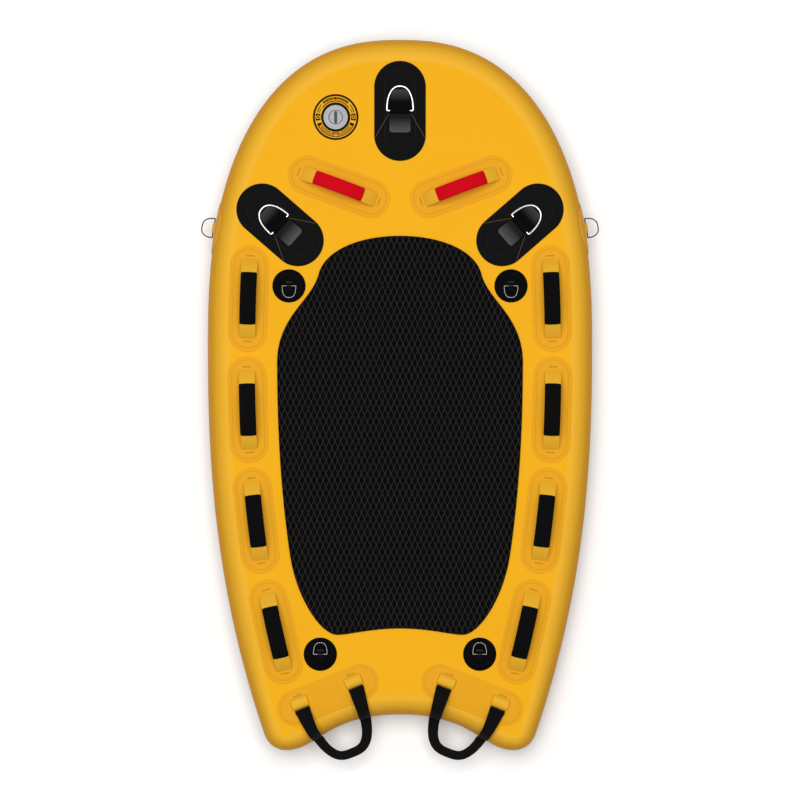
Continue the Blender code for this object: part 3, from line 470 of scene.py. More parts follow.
@dataclass(frozen=True)
class BoardForm:
    """The board's outline, rounded rail and nose rocker, as surfaces of two parameters."""

    length: float = 1.8
    width: float = 0.976
    thickness: float = 0.150
    nose_length: float = 0.757
    nose_fullness: float = 2.4
    straight: float = 0.028
    taper_power: float = 2.34
    tip_offset: float = 0.289
    tip_radius: float = 0.058
    tip_turn: float = 18.0
    tail_hollow: float = 0.0906
    hollow_lead: float = 0.28
    hollow_rear: float = 0.35
    rail_reach: float = 0.060
    tip_reach: float = 0.046
    tip_blend: float = 0.160
    rail_fullness: float = 2.3
    rocker_rise: float = 0.042
    rocker_length: float = 0.480
    rocker_power: float = 2.4
    spine_start: float = 0.30
    around: int = 480

    @property
    def half(self) -> float:
        """Half of the width."""
        return self.width / 2

    @property
    def nose(self) -> float:
        """The nose's Y."""
        return self.length / 2

    def lift(self, y: Array | float) -> Array:
        """The rocker: rise * (share of the way from the rocker's start to the nose) ** power."""
        share = 1 - (self.nose - np.asarray(y)) / self.rocker_length
        return self.rocker_rise * np.clip(share, 0.0, None) ** self.rocker_power

    def right_outline(self) -> Array:
        """The right half of the plan outline: a superellipse nose, a straight, a power taper, a tip arc, a curve.

        Returns:
            X and Y of the points, from the nose to the tail's middle.
        """
        a = np.linspace(0.0, np.pi / 2, 400)
        along, out = superellipse(a, self.nose_fullness)
        front = np.column_stack([self.half * out, self.nose - self.nose_length * (1 - along)])
        tip = (self.tip_offset, self.tip_radius - self.length / 2)
        corner = arc(tip, self.tip_radius, -self.tip_turn, -90.0, 40)
        t = np.linspace(0.0, 1.0, 200)[:, None]
        wide = self.nose - self.nose_length - self.straight
        side = np.hstack([
            self.half - (self.half - corner[0, 0]) * t**self.taper_power,
            wide + (corner[0, 1] - wide) * t,
        ])
        low, high = -self.length / 2, self.tail_hollow - self.length / 2
        pulls = (self.tip_offset * (1 - self.hollow_lead), low), (self.tip_offset * (1 - self.hollow_rear), high)
        hollow = bezier([tuple(corner[-1]), *pulls, (0.0, high)], 80)
        line = np.vstack([front, side, corner[1:], hollow[1:]])
        return resampled(line, self.around // 2 + 1)

    def outline(self) -> tuple[Array, Array]:
        """The whole plan outline and its unit normals, which point outwards."""
        return mirrored(self.right_outline())

    def section(self, angle: Array, depth: Array) -> tuple[Array, Array, Array]:
        """The rail's superellipse: how far in, how far out along the normal, and how high each point lies.

        Args:
            angle: Angles from the widest line, upwards positive.
            depth: How far each point lies under the surface.

        Returns:
            The share of the reach to go in, the metres to go in more, and the height.
        """
        across, up = superellipse(angle, self.rail_fullness)
        out = np.abs(across) ** (self.rail_fullness - 1) / self.rail_reach
        rise = np.sign(up) * np.abs(up) ** (self.rail_fullness - 1) * 2 / self.thickness
        size = np.hypot(out, rise)
        return 1 - across, depth * out / size, self.thickness / 2 * (1 + up) - depth * rise / size

    def reach(self, line: Array) -> Array:
        """How far the rounded rail reaches in: less near the tail tips, by a bell curve of the distance.

        Args:
            line: The points.

        Returns:
            One distance a point.
        """
        tips = np.array([[self.tip_offset, self.tip_radius - self.length / 2]]) * np.array([[[1, 1]], [[-1, 1]]])
        near = np.linalg.norm(line[None] - tips, axis=2).min(axis=0) - self.tip_radius
        return self.rail_reach - (self.rail_reach - self.tip_reach) * np.exp(-((near / self.tip_blend) ** 2))

    def drop(self, plan: Array) -> Array:
        """How far the rounded rail has fallen under the flat face: the section's height at each point's inset.

        Args:
            plan: X and Y of the points, in the last axis.

        Returns:
            One distance a point, 0 on the flat.
        """
        line, normals = self.outline()
        flat = plan.reshape(-1, 2)
        nearest = np.argmin(((flat[:, None] - line[None]) ** 2).sum(axis=2), axis=1)
        inset = ((line[nearest] - flat) * normals[nearest]).sum(axis=1)
        across = np.clip(1 - inset / self.reach(line)[nearest], 0.0, 1.0)
        fallen = self.thickness / 2 * (1 - (1 - across**self.rail_fullness) ** (1 / self.rail_fullness))
        return fallen.reshape(plan.shape[:-1])

    def rings(self, angle: Array, depth: Array | float) -> Array:
        """The rail's surface: outline - normal * (reach * share in + depth part), at the section's height.

        Args:
            angle: The section angles, one a row.
            depth: The depth under the surface, one a row or one for all.

        Returns:
            Rows by outline points by three, without the rocker.
        """
        line, normals = self.outline()
        reach = self.reach(line)
        share, sunk, height = self.section(angle, depth)
        inset = reach[None] * share[:, None] + sunk[:, None]
        return raised(line[None] - normals[None] * inset[..., None], height)

    def flat(self, edge: Array, rows: int) -> Array:
        """The flat face inside a ring: straight lines from points on the centreline out to the ring.

        Args:
            edge: The ring, outline points by three.
            rows: How many rows, the centreline's among them and the ring's left out.

        Returns:
            Rows by outline points by three, from the centreline outwards.
        """
        half = self.around // 2
        level = self.spine_start + self.tail_hollow - self.length / 2
        along = spine(edge[: half + 1, 1], level)
        middle = np.column_stack([np.zeros(self.around), along, edge[:, 2]])
        share = np.linspace(0.0, 1.0, rows + 1)[:-1, None, None]
        return middle[None] + (edge - middle)[None] * share

    def wrap_angle(self, drop: float) -> float:
        """The section's angle where the surface has dropped this far from its flat face."""
        return math.asin((1 - drop * 2 / self.thickness) ** (self.rail_fullness / 2))

    def rocked(self, points: Array) -> Array:
        """Points lifted by the rocker at their Y."""
        return points + self.lift(points[..., 1:2]) * (0, 0, 1)


FORM = BoardForm()


@dataclass(frozen=True)
class Seat:
    """A place on the board's top or underside: plan position, turn about Z, and height above the flat face."""

    x: float
    y: float
    angle: float = 0.0
    height: float = GAP
    under: bool = False

    def lay(self, points: Array) -> Array:
        """Turns points about Z, sets them on the face and lets them follow the rocker.

        Args:
            points: Points in the patch's own frame, in the last axis.

        Returns:
            The same points in the board's frame.
        """
        c, s = math.cos(self.angle), math.sin(self.angle)
        u, v, w = points[..., 0], points[..., 1], points[..., 2]
        if self.under:
            u, w = -u, -w
        plan = np.stack([self.x + u * c - v * s, self.y + u * s + v * c], axis=-1)
        level = FORM.drop(plan) - self.height if self.under else FORM.thickness + self.height - FORM.drop(plan)
        return FORM.rocked(np.concatenate([plan, (level + w)[..., None]], axis=-1))


@dataclass(frozen=True)
class JointFrame:
    """The frame of a moving node: its pivot, its axis as X, and Y towards the bulk of the node."""

    origin: Array
    axes: Array

    @classmethod
    def of(cls, joint: str) -> "JointFrame":
        """The frame of a joint, with Y pointing from the axis to the middle of its node.

        Args:
            joint: The joint's name.

        Returns:
            Its frame.
        """
        facts = JOINTS[joint]
        origin, first = np.array(facts["pos_m"]), unit(np.array(facts["axis"], dtype=float))
        mesh = frame["nodes"][facts["child"]].data
        points = np.empty(len(mesh.vertices) * 3)
        mesh.vertices.foreach_get("co", points)
        second = points.reshape(-1, 3).mean(axis=0) - origin
        second = unit(second - first * (second @ first))
        third = np.cross(first, second)
        way = -1.0 if third[2] < 0 else 1.0
        return cls(origin, np.stack([way * first, second, way * third]))

    def place(self, points: Array) -> Array:
        """Points in this frame as points in the board's frame."""
        return self.origin + points @ self.axes


# ---- Finishes


class Graph:
    """A node tree with short ways to add and join nodes."""

    def __init__(self, tree: bpy.types.NodeTree) -> None:
        """Takes the tree that the nodes go into."""
        self.tree = tree

    def node(self, kind: str, **settings: object) -> bpy.types.Node:
        """Adds a node and sets its properties.

        Args:
            kind: The node's type.
            settings: Its properties.

        Returns:
            The node.
        """
        made = self.tree.nodes.new(kind)
        for name, value in settings.items():
            setattr(made, name, value)
        return made

    def feed(self, socket: bpy.types.NodeSocket, value: object) -> None:
        """Joins another socket to this one, or sets its value.

        Args:
            socket: The socket that is fed.
            value: Another socket or a value.
        """
        if isinstance(value, bpy.types.NodeSocket):
            self.tree.links.new(value, socket)
        else:
            socket.default_value = value

    def math(self, operation: str, *terms: object, clamp: bool = False) -> bpy.types.NodeSocket:
        """A Math node of one to three terms.

        Args:
            operation: The node's operation.
            terms: Sockets or numbers.
            clamp: Whether the result stays between 0 and 1.

        Returns:
            The result's socket.
        """
        made = self.node("ShaderNodeMath", operation=operation, use_clamp=clamp)
        for socket, term in zip(made.inputs, terms):
            self.feed(socket, term)
        return made.outputs[0]

    def mix(self, factor: object, first: object, second: object) -> bpy.types.NodeSocket:
        """A colour between two others.

        Args:
            factor: 0 gives the first and 1 the second.
            first: A colour or its socket.
            second: A colour or its socket.

        Returns:
            The mixed colour's socket.
        """
        made = self.node("ShaderNodeMix", data_type="RGBA")
        for name, value in (("Factor_Float", factor), ("A_Color", first), ("B_Color", second)):
            socket = next(s for s in made.inputs if s.identifier == name)
            self.feed(socket, value if isinstance(value, (float, bpy.types.NodeSocket)) else (*value, 1.0))
        return next(s for s in made.outputs if s.identifier == "Result_Color")

    def parts(self, vector: object) -> tuple[bpy.types.NodeSocket, ...]:
        """The three coordinates of a vector socket.

        Args:
            vector: The vector's socket.

        Returns:
            The sockets of X, Y and Z.
        """
        made = self.node("ShaderNodeSeparateXYZ")
        self.feed(made.inputs[0], vector)
        return tuple(made.outputs)

    def distance(self, x: object, y: object) -> bpy.types.NodeSocket:
        """The square root of x squared and y squared."""
        return self.math("SQRT", self.math("ADD", self.math("POWER", x, 2.0), self.math("POWER", y, 2.0)))

    def line(self, distance: object, middle: object, width: object) -> bpy.types.NodeSocket:
        """A soft-edged line: 1 where distance is near middle, falling to 0 at half the width away.

        Args:
            distance: The measured distance.
            middle: Where the line lies.
            width: The line's width.

        Returns:
            The mask's socket.
        """
        crisp = 4.0
        away = self.math("ABSOLUTE", self.math("SUBTRACT", distance, middle))
        share = self.math("DIVIDE", away, self.math("MULTIPLY", width, 0.5))
        return self.math("MULTIPLY", self.math("SUBTRACT", 1.0, share), crisp, clamp=True)


Sockets = dict[str, bpy.types.NodeSocket]


@dataclass(frozen=True)
class Effect:
    """A node group that materials share, with a Vector input, named numbers and number outputs."""

    name: str
    numbers: dict[str, float]
    outputs: tuple[str, ...]
    build: Callable[[Graph, Sockets], Sockets]

    def tree(self) -> bpy.types.NodeTree:
        """The group, built once.

        Returns:
            Its node tree.
        """
        if self.name in bpy.data.node_groups:
            return bpy.data.node_groups[self.name]
        tree = bpy.data.node_groups.new(self.name, "ShaderNodeTree")
        tree.interface.new_socket("Vector", in_out="INPUT", socket_type="NodeSocketVector")
        for word, value in self.numbers.items():
            tree.interface.new_socket(word, in_out="INPUT", socket_type="NodeSocketFloat").default_value = value
        for word in self.outputs:
            tree.interface.new_socket(word, in_out="OUTPUT", socket_type="NodeSocketFloat")
        graph = Graph(tree)
        start, end = graph.node("NodeGroupInput"), graph.node("NodeGroupOutput")
        for word, socket in self.build(graph, {s.name: s for s in start.outputs if s.name}).items():
            tree.links.new(socket, end.inputs[word])
        return tree

    def place(self, graph: Graph, vector: object, numbers: dict[str, float] | None = None) -> Sockets:
        """Places the group in a material.

        Args:
            graph: The material's graph.
            vector: What goes into the Vector input.
            numbers: The number inputs that differ from their defaults.

        Returns:
            The output sockets by name.
        """
        made = graph.node("ShaderNodeGroup", node_tree=self.tree())
        graph.feed(made.inputs["Vector"], vector)
        for word, value in (numbers or {}).items():
            made.inputs[word].default_value = value
        return {socket.name: socket for socket in made.outputs}


def grain_nodes(graph: Graph, given: Sockets) -> Sockets:
    """Coated fabric: fine noise for the height, and slow noise for the shade.

    Args:
        graph: The group's graph.
        given: Its inputs.

    Returns:
        Its outputs.
    """
    slow_scale, detail = 7.0, 3.0
    fine, slow = (graph.node("ShaderNodeTexNoise") for _ in range(2))
    for made, size in ((fine, given["Scale"]), (slow, slow_scale)):
        for word, value in (("Vector", given["Vector"]), ("Scale", size), ("Detail", detail)):
            graph.feed(made.inputs[word], value)
    spread = graph.math("MULTIPLY", graph.math("SUBTRACT", slow.outputs[0], 0.5), given["Shading"])
    return {"Height": fine.outputs[0], "Shade": graph.math("ADD", spread, 1.0)}


def weave_nodes(graph: Graph, given: Sockets) -> Sockets:
    """Webbing: two crossed waves, whose product gives the threads' height.

    Args:
        graph: The group's graph.
        given: Its inputs.

    Returns:
        Its outputs.
    """
    x, y, _ = graph.parts(given["Vector"])
    turn = graph.math("MULTIPLY", given["Threads"], 2 * math.pi)
    waves = [graph.math("SINE", graph.math("MULTIPLY", way, turn)) for way in (x, y)]
    height = graph.math("MULTIPLY_ADD", graph.math("MULTIPLY", *waves), 0.5, 0.5)
    return {"Height": height, "Shade": graph.math("MULTIPLY_ADD", height, given["Contrast"], 1.0)}


def seam_nodes(graph: Graph, given: Sockets) -> Sockets:
    """A line at an inset from a stadium's edge: round all of it, or in a full circle at each end.

    Args:
        graph: The group's graph.
        given: Its inputs.

    Returns:
        Its outputs.
    """
    x, y, _ = graph.parts(given["Vector"])
    past = graph.math("SUBTRACT", graph.math("ABSOLUTE", x), given["Reach"])
    past = graph.math("MAXIMUM", past, graph.math("MULTIPLY", given["Full Circles"], -1.0))
    inset = graph.math("SUBTRACT", given["Half Width"], graph.distance(past, y))
    return {"Line": graph.line(inset, given["Inset"], given["Line Width"])}


def tack_nodes(graph: Graph, given: Sockets) -> Sockets:
    """A short zigzag of stitches along Y, where X is zero: the line x = swing * sine of y.

    Args:
        graph: The group's graph.
        given: Its inputs.

    Returns:
        Its outputs.
    """
    thread = 0.0017
    x, y, _ = graph.parts(given["Vector"])
    wave = graph.math("SINE", graph.math("MULTIPLY", y, given["Stitches"]))
    row = graph.line(x, graph.math("MULTIPLY", wave, given["Swing"]), thread)
    near = graph.math("LESS_THAN", graph.math("ABSOLUTE", y), given["Half Length"])
    return {"Stitches": graph.math("MULTIPLY", row, near)}


def diamond_nodes(graph: Graph, given: Sockets) -> Sockets:
    """Two sets of slanted grooves that cross in diamonds: lines where x / pitch + or - y / pitch is half way.

    Args:
        graph: The group's graph.
        given: Its inputs.

    Returns:
        Its outputs.
    """
    x, y, _ = graph.parts(given["Vector"])
    ways = graph.math("DIVIDE", x, given["Pitch X"]), graph.math("DIVIDE", y, given["Pitch Y"])
    shares = [graph.math("FRACT", graph.math("ADD", graph.math(sign, *ways), 100.0)) for sign in ("ADD", "SUBTRACT")]
    return {"Groove": graph.math("MAXIMUM", *(graph.line(share, 0.5, given["Groove"]) for share in shares))}


GRAIN = Effect("Fabric grain", {"Scale": 900.0, "Shading": 0.03}, ("Height", "Shade"), grain_nodes)
WEAVE = Effect("Webbing weave", {"Threads": 320.0, "Contrast": 0.15}, ("Height", "Shade"), weave_nodes)
SEAM_AND_SHADE = Effect(
    "Seam line",
    {"Reach": 0.085, "Half Width": 0.049, "Inset": 0.011, "Line Width": 0.002, "Full Circles": 0.0},
    ("Line",),
    seam_nodes,
)
TACK = Effect("Bar tack", {"Half Length": 0.011, "Stitches": 1100.0, "Swing": 0.0014}, ("Stitches",), tack_nodes)
DIAMONDS = Effect(
    "Diamond grooves", {"Pitch X": 0.01493, "Pitch Y": 0.0328, "Groove": 0.15}, ("Groove",), diamond_nodes
)


@dataclass
class Paint:
    """A material while it is made: its graph, its coordinates, and the colour and height so far."""

    graph: Graph
    place: Sockets
    color: object
    height: object = None

    def over(self, mask: object, tone: Color) -> None:
        """Lays a tone over the colour where the mask is 1."""
        self.color = self.graph.mix(mask, self.color, tone)


Marks = Callable[[Paint], None]


@dataclass(frozen=True)
class Finish:
    """A coloured, rough surface with an optional grain or weave, and marks over it."""

    name: str
    color: Color
    roughness: float
    slot: str
    metallic: float = 0.0
    specular: float = 0.3
    grain: float = 0.0
    weave: float = 0.0
    marks: Marks | None = None
    marks_depth: float = 0.0005

    def material(self) -> bpy.types.Material:
        """The material, made once: colour, then grain or weave, then marks, then the bump.

        Returns:
            The material.
        """
        made = bpy.data.materials.get(self.name)
        if made:
            return made
        made = bpy.data.materials.new(self.name)
        made.use_nodes = True
        graph = Graph(made.node_tree)
        shader = made.node_tree.nodes["Principled BSDF"]
        values = {"Roughness": self.roughness, "Metallic": self.metallic, "Specular IOR Level": self.specular}
        for word, value in values.items():
            shader.inputs[word].default_value = value
        paint = Paint(graph, {socket.name: socket for socket in graph.node("ShaderNodeTexCoord").outputs}, self.color)
        if self.grain or self.weave:
            texture, source = (GRAIN, "Object") if self.grain else (WEAVE, "UV")
            cloth = texture.place(graph, paint.place[source])
            tint = graph.node("ShaderNodeVectorMath", operation="SCALE")
            graph.feed(tint.inputs[0], self.color)
            graph.feed(tint.inputs["Scale"], cloth["Shade"])
            paint.color, paint.height = tint.outputs[0], cloth["Height"]
        if self.marks:
            self.marks(paint)
        if paint.height is not None:
            bump = graph.node("ShaderNodeBump")
            bump.inputs["Strength"].default_value = 1.0
            bump.inputs["Distance"].default_value = self.grain or self.weave or self.marks_depth
            graph.feed(bump.inputs["Height"], paint.height)
            graph.feed(shader.inputs["Normal"], bump.outputs[0])
        plain = paint.color is self.color
        graph.feed(shader.inputs["Base Color"], (*self.color, 1.0) if plain else paint.color)
        return made


def groove_marks(paint: Paint) -> None:
    """Diamond grooves where the foam faces up, lighter than the foam and sunk.

    Args:
        paint: The foam's material.
    """
    graph, upright = paint.graph, 0.9
    level = graph.parts(paint.place["Normal"])[2]
    groove = DIAMONDS.place(graph, paint.place["Object"])["Groove"]
    groove = graph.math("MULTIPLY", groove, graph.math("GREATER_THAN", level, upright))
    paint.over(groove, linear(46, 46, 45))
    paint.height = graph.math("SUBTRACT", 1.0, groove)


def seam_marks(
    patch: tuple[float, float], inset: float, width: float, tone: Color, tack: tuple[float, float] | None = None
) -> Marks:
    """Marks for a welded patch: one line round it, and short rows of dark stitches if it has them. On the valve cap
    the same line is painted shade in its groove.

    Args:
        patch: Half the length of the patch's middle line, and half its width.
        inset: How far in from the edge the line runs.
        width: The line's width.
        tone: The line's colour.
        tack: How far along the patch and to its side the rows of stitches lie. A row to the side runs
            along the patch, and one on the middle line runs across it.

    Returns:
        The function that adds the marks.
    """
    numbers = {"Reach": patch[0], "Half Width": patch[1], "Inset": inset, "Line Width": width,
               "Full Circles": float(bool(tack and tack[1]))}

    def add(paint: Paint) -> None:
        """Lays the marks over the colour.

        Args:
            paint: The patch's material.
        """
        graph, flat = paint.graph, paint.place["UV"]
        paint.over(SEAM_AND_SHADE.place(graph, flat, numbers)["Line"], tone)
        if tack:
            x, y, _ = graph.parts(flat)
            ways = [graph.math("SUBTRACT", graph.math("ABSOLUTE", x), tack[0]), graph.math("SUBTRACT", y, tack[1])]
            both = graph.node("ShaderNodeCombineXYZ")
            for socket, way in zip(both.inputs, ways[::-1] if tack[1] else ways):
                graph.feed(socket, way)
            paint.over(TACK.place(graph, both.outputs[0])["Stitches"], linear(112, 72, 22))

    return add


def fade_marks(start: float, end: float, tone: Color) -> Marks:
    """A painted highlight that grows along a webbing.

    Args:
        start: The running length where the tone starts.
        end: Where it is full.
        tone: The painted highlight's tone.

    Returns:
        The function that adds the tone. The surface's UV holds the running length.
    """

    def add(paint: Paint) -> None:
        """Lays the painted highlight over the colour.

        Args:
            paint: The webbing's material.
        """
        graph = paint.graph
        along = graph.parts(paint.place["UV"])[1]
        # painted highlight, growing with the running length from start to end
        paint.over(graph.math("DIVIDE", graph.math("SUBTRACT", along, start), end - start, clamp=True), tone)

    return add


def rim_marks(inset: float, tone: Color, low: float, low_tone: Color) -> Marks:
    """Painted light for the rounded rail: a paler painted highlight with a crisp inner end, and painted shade that
    grows below it towards the edge.

    Args:
        inset: Where the first tone ends.
        tone: The painted highlight's colour.
        low: Where the second tone is half way.
        low_tone: The painted shade's colour at the edge.

    Returns:
        The function that adds the tones. The surface's UV holds how far in from the edge it lies.
    """
    crisp = 1500.0

    def add(paint: Paint) -> None:
        """Lays the painted highlight and the painted shade over the colour where the inset is small.

        Args:
            paint: The deck's material.
        """
        graph = paint.graph
        inward = graph.parts(paint.place["UV"])[0]
        # painted highlight: a paler band over the rail's roll, with a crisp inner end
        paint.over(graph.math("MULTIPLY", graph.math("SUBTRACT", inset, inward), crisp, clamp=True), tone)
        # painted shade: darker towards the rail's edge
        edge = graph.math("MULTIPLY_ADD", graph.math("SUBTRACT", low, inward), 0.5 / low, 0.5, clamp=True)
        paint.over(edge, low_tone)

    return add


DECK = Finish(
    "Deck fabric", linear(247, 179, 24), 0.5, "deck_yellow", specular=0.04, grain=0.00004,
    # painted light on the rail's roll: a paler painted highlight band, then painted shade darkening towards the edge
    marks=rim_marks(0.0585, linear(244, 183, 50), 0.024, linear(214, 158, 40)),
)
HULL = Finish("Hull fabric", linear(36, 34, 34), 0.5, "hull_black", specular=0.1, grain=0.00004)
RAIL = Finish("Rail band fabric", linear(232, 164, 28), 0.5, "rail_orange", specular=0.06, grain=0.00004)
FOAM = Finish("Pad foam", linear(13, 11, 12), 0.85, "pad_foam", specular=0.0, marks=groove_marks)
RED = Finish("Red grip cloth", linear(208, 8, 26), 0.75, "grip_red", specular=0.03, grain=0.0001)
GRIP = Finish("Black grip cloth", linear(12, 11, 12), 0.8, "grip_black", specular=0.03, grain=0.0001)
WEBBING = Finish("Black webbing", linear(16, 15, 16), 0.75, "webbing_black", specular=0.03, weave=0.0002)
TOW_WEBBING = Finish(
    "Tow webbing", linear(9, 9, 9), 0.7, "webbing_black", specular=0.02, weave=0.0002,
    # painted highlight: the fold's front end, under the ring's crown, grows pale grey
    marks=fade_marks(0.082, 0.116, linear(66, 66, 68)),
)
# painted light: a grey lighter than the black webbing stands for light on a fold's rear slope, and a painted highlight
# grows towards its foot
FLAP = Finish(
    "Grey webbing", linear(26, 26, 26), 0.7, "webbing_black", specular=0.05, weave=0.0002,
    marks=fade_marks(0.010, 0.052, linear(88, 88, 87)),
)
TAB_YELLOW = Finish("Yellow webbing", linear(229, 175, 47), 0.6, "patch_yellow", specular=0.05, weave=0.00008)
STEEL = Finish("Ring steel", linear(204, 205, 208), 0.26, "ring_steel", metallic=1.0)
DARK_STEEL = Finish("Dark ring steel", linear(34, 34, 37), 0.45, "ring_steel", metallic=1.0)
DULL_STEEL = Finish("Dull ring steel", linear(132, 131, 134), 0.38, "ring_steel", metallic=1.0)
SPRING = Finish("Spring steel", linear(190, 192, 196), 0.3, "spring_steel", metallic=1.0)
THREAD = Finish("Tan thread", linear(130, 104, 70), 0.7, "webbing_black")
THREAD_GREY = Finish("Grey thread", linear(92, 92, 92), 0.7, "webbing_black")
VALVE_BLACK = Finish("Valve body plastic", linear(10, 9, 9), 0.45, "valve_black", specular=0.05)
VALVE_BAR = Finish("Valve bar plastic", linear(70, 74, 80), 0.5, "valve_grey", specular=0.15)
VALVE_WHITE = Finish("Valve stem plastic", linear(225, 225, 222), 0.4, "valve_white")
GASKET = Finish("Gasket rubber", linear(20, 20, 20), 0.85, "gasket_rubber")
CORE = Finish("Core fabric", linear(226, 224, 218), 0.8, "core_white", grain=0.00005)


@dataclass
class Piece:
    """A finished object on its body, or free if its body is None."""

    name: str
    skin: Skin
    finish: Finish
    body: str | None = "board"
    stands_for: tuple[str, ...] = ()
    sharp: float = 40.0

    def place(self) -> bpy.types.Object:
        """Makes the object, paints it, and sets it on its body.

        Returns:
            The object.
        """
        made = bpy.data.objects.new(self.name, self.skin.mesh(self.name, self.sharp))
        bpy.context.scene.collection.objects.link(made)
        made.data.materials.append(self.finish.material())
        if self.body:
            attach(made, self.body)
        if self.stands_for:
            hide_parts(*self.stands_for)
        return made


def place_patch(node: str, skin: Skin, finish: Finish, part: str = "patch") -> None:
    """Makes a fitting's welded patch in place of the CAD's."""
    Piece(f"{node}_fabric", skin, finish, stands_for=(f"{node}_{part}",)).place()


# ---- The board


@dataclass(frozen=True)
class Board:
    """The three outer fabric layers and the core's sheets."""

    deck_wrap: float = 0.019
    hull_wrap: float = 0.017
    fabric: float = 0.0012
    core_depth: float = 0.0024
    proud: float = 0.0004
    slack: float = 0.004
    rows: int = 14
    flat_rows: int = 24

    def layer(self, low: float, high: float, closed: int, proud: float = 0.0) -> Skin:
        """A fabric shell between two angles of the rail's section.

        Args:
            low: The first angle.
            high: The last angle.
            closed: 1 fills the last ring with the flat deck, -1 the first with the flat hull, 0 leaves a band.
            proud: How far the fabric's open edge stands out over its neighbour.

        Returns:
            The closed shell.
        """
        angle = np.linspace(low, high, self.rows)
        open_edge = np.linspace(1.0, 0.0, self.rows)[:: closed or 1]
        outside, inside = (FORM.rings(angle, depth) for depth in (-proud * open_edge**2, self.fabric))
        if closed < 0:
            outside, inside = outside[::-1], inside[::-1]
        if not closed:
            return Skin().grid(FORM.rocked(np.concatenate([outside, inside[::-1]])), True, True)
        top, under = (FORM.flat(ring[-1], self.flat_rows) for ring in (outside, inside))
        grid = np.concatenate([top, outside[::-1], inside, under[::-1]])
        inset = FORM.rail_reach * FORM.section(angle, 0.0)[0][::closed]
        middle = np.full(self.flat_rows, 1.0)
        inward = np.concatenate([middle, inset[::-1], inset, middle])
        plan = np.stack(np.broadcast_arrays(inward[:, None], np.zeros(FORM.around)), axis=-1)
        return Skin().grid(FORM.rocked(grid), columns_close=True, plan=plan)

    def core(self) -> Skin:
        """The core's double sheet: one closed skin under the outer fabric, and its inner side turned round.

        Returns:
            Both sheets as one skin.
        """
        angle = np.linspace(-math.pi / 2, math.pi / 2, 2 * self.rows)
        skin = Skin()
        for depth in (self.core_depth, self.core_depth + self.fabric):
            rings = FORM.rings(angle, depth)
            top, under = (FORM.flat(ring, self.flat_rows) for ring in (rings[-1], rings[0]))
            grid = FORM.rocked(np.concatenate([top, rings[::-1], under[::-1]]))
            skin.grid(grid if depth == self.core_depth else grid[::-1], columns_close=True)
        return skin

    def build(self) -> None:
        """Makes the deck skin, the hull skin, the rail band and the core's sheets."""
        deck, hull = FORM.wrap_angle(self.deck_wrap), -FORM.wrap_angle(self.hull_wrap)
        flat = math.pi / 2
        band = self.layer(hull + self.slack, deck - self.slack, 0)
        for name, skin, finish, node in (
            ("deck_fabric", self.layer(deck, flat, 1, self.proud), DECK, "deck_skin"),
            ("hull_fabric", self.layer(-flat, hull, -1, self.proud), HULL, "hull_skin"),
            ("rail_fabric", band, RAIL, "rail_band"),
            ("core_sheets", self.core(), CORE, "drop_stitch_core"),
        ):
            Piece(name, skin, finish, stands_for=(node,)).place()
        log.info("board: deck, hull and rail fabric, and the core")


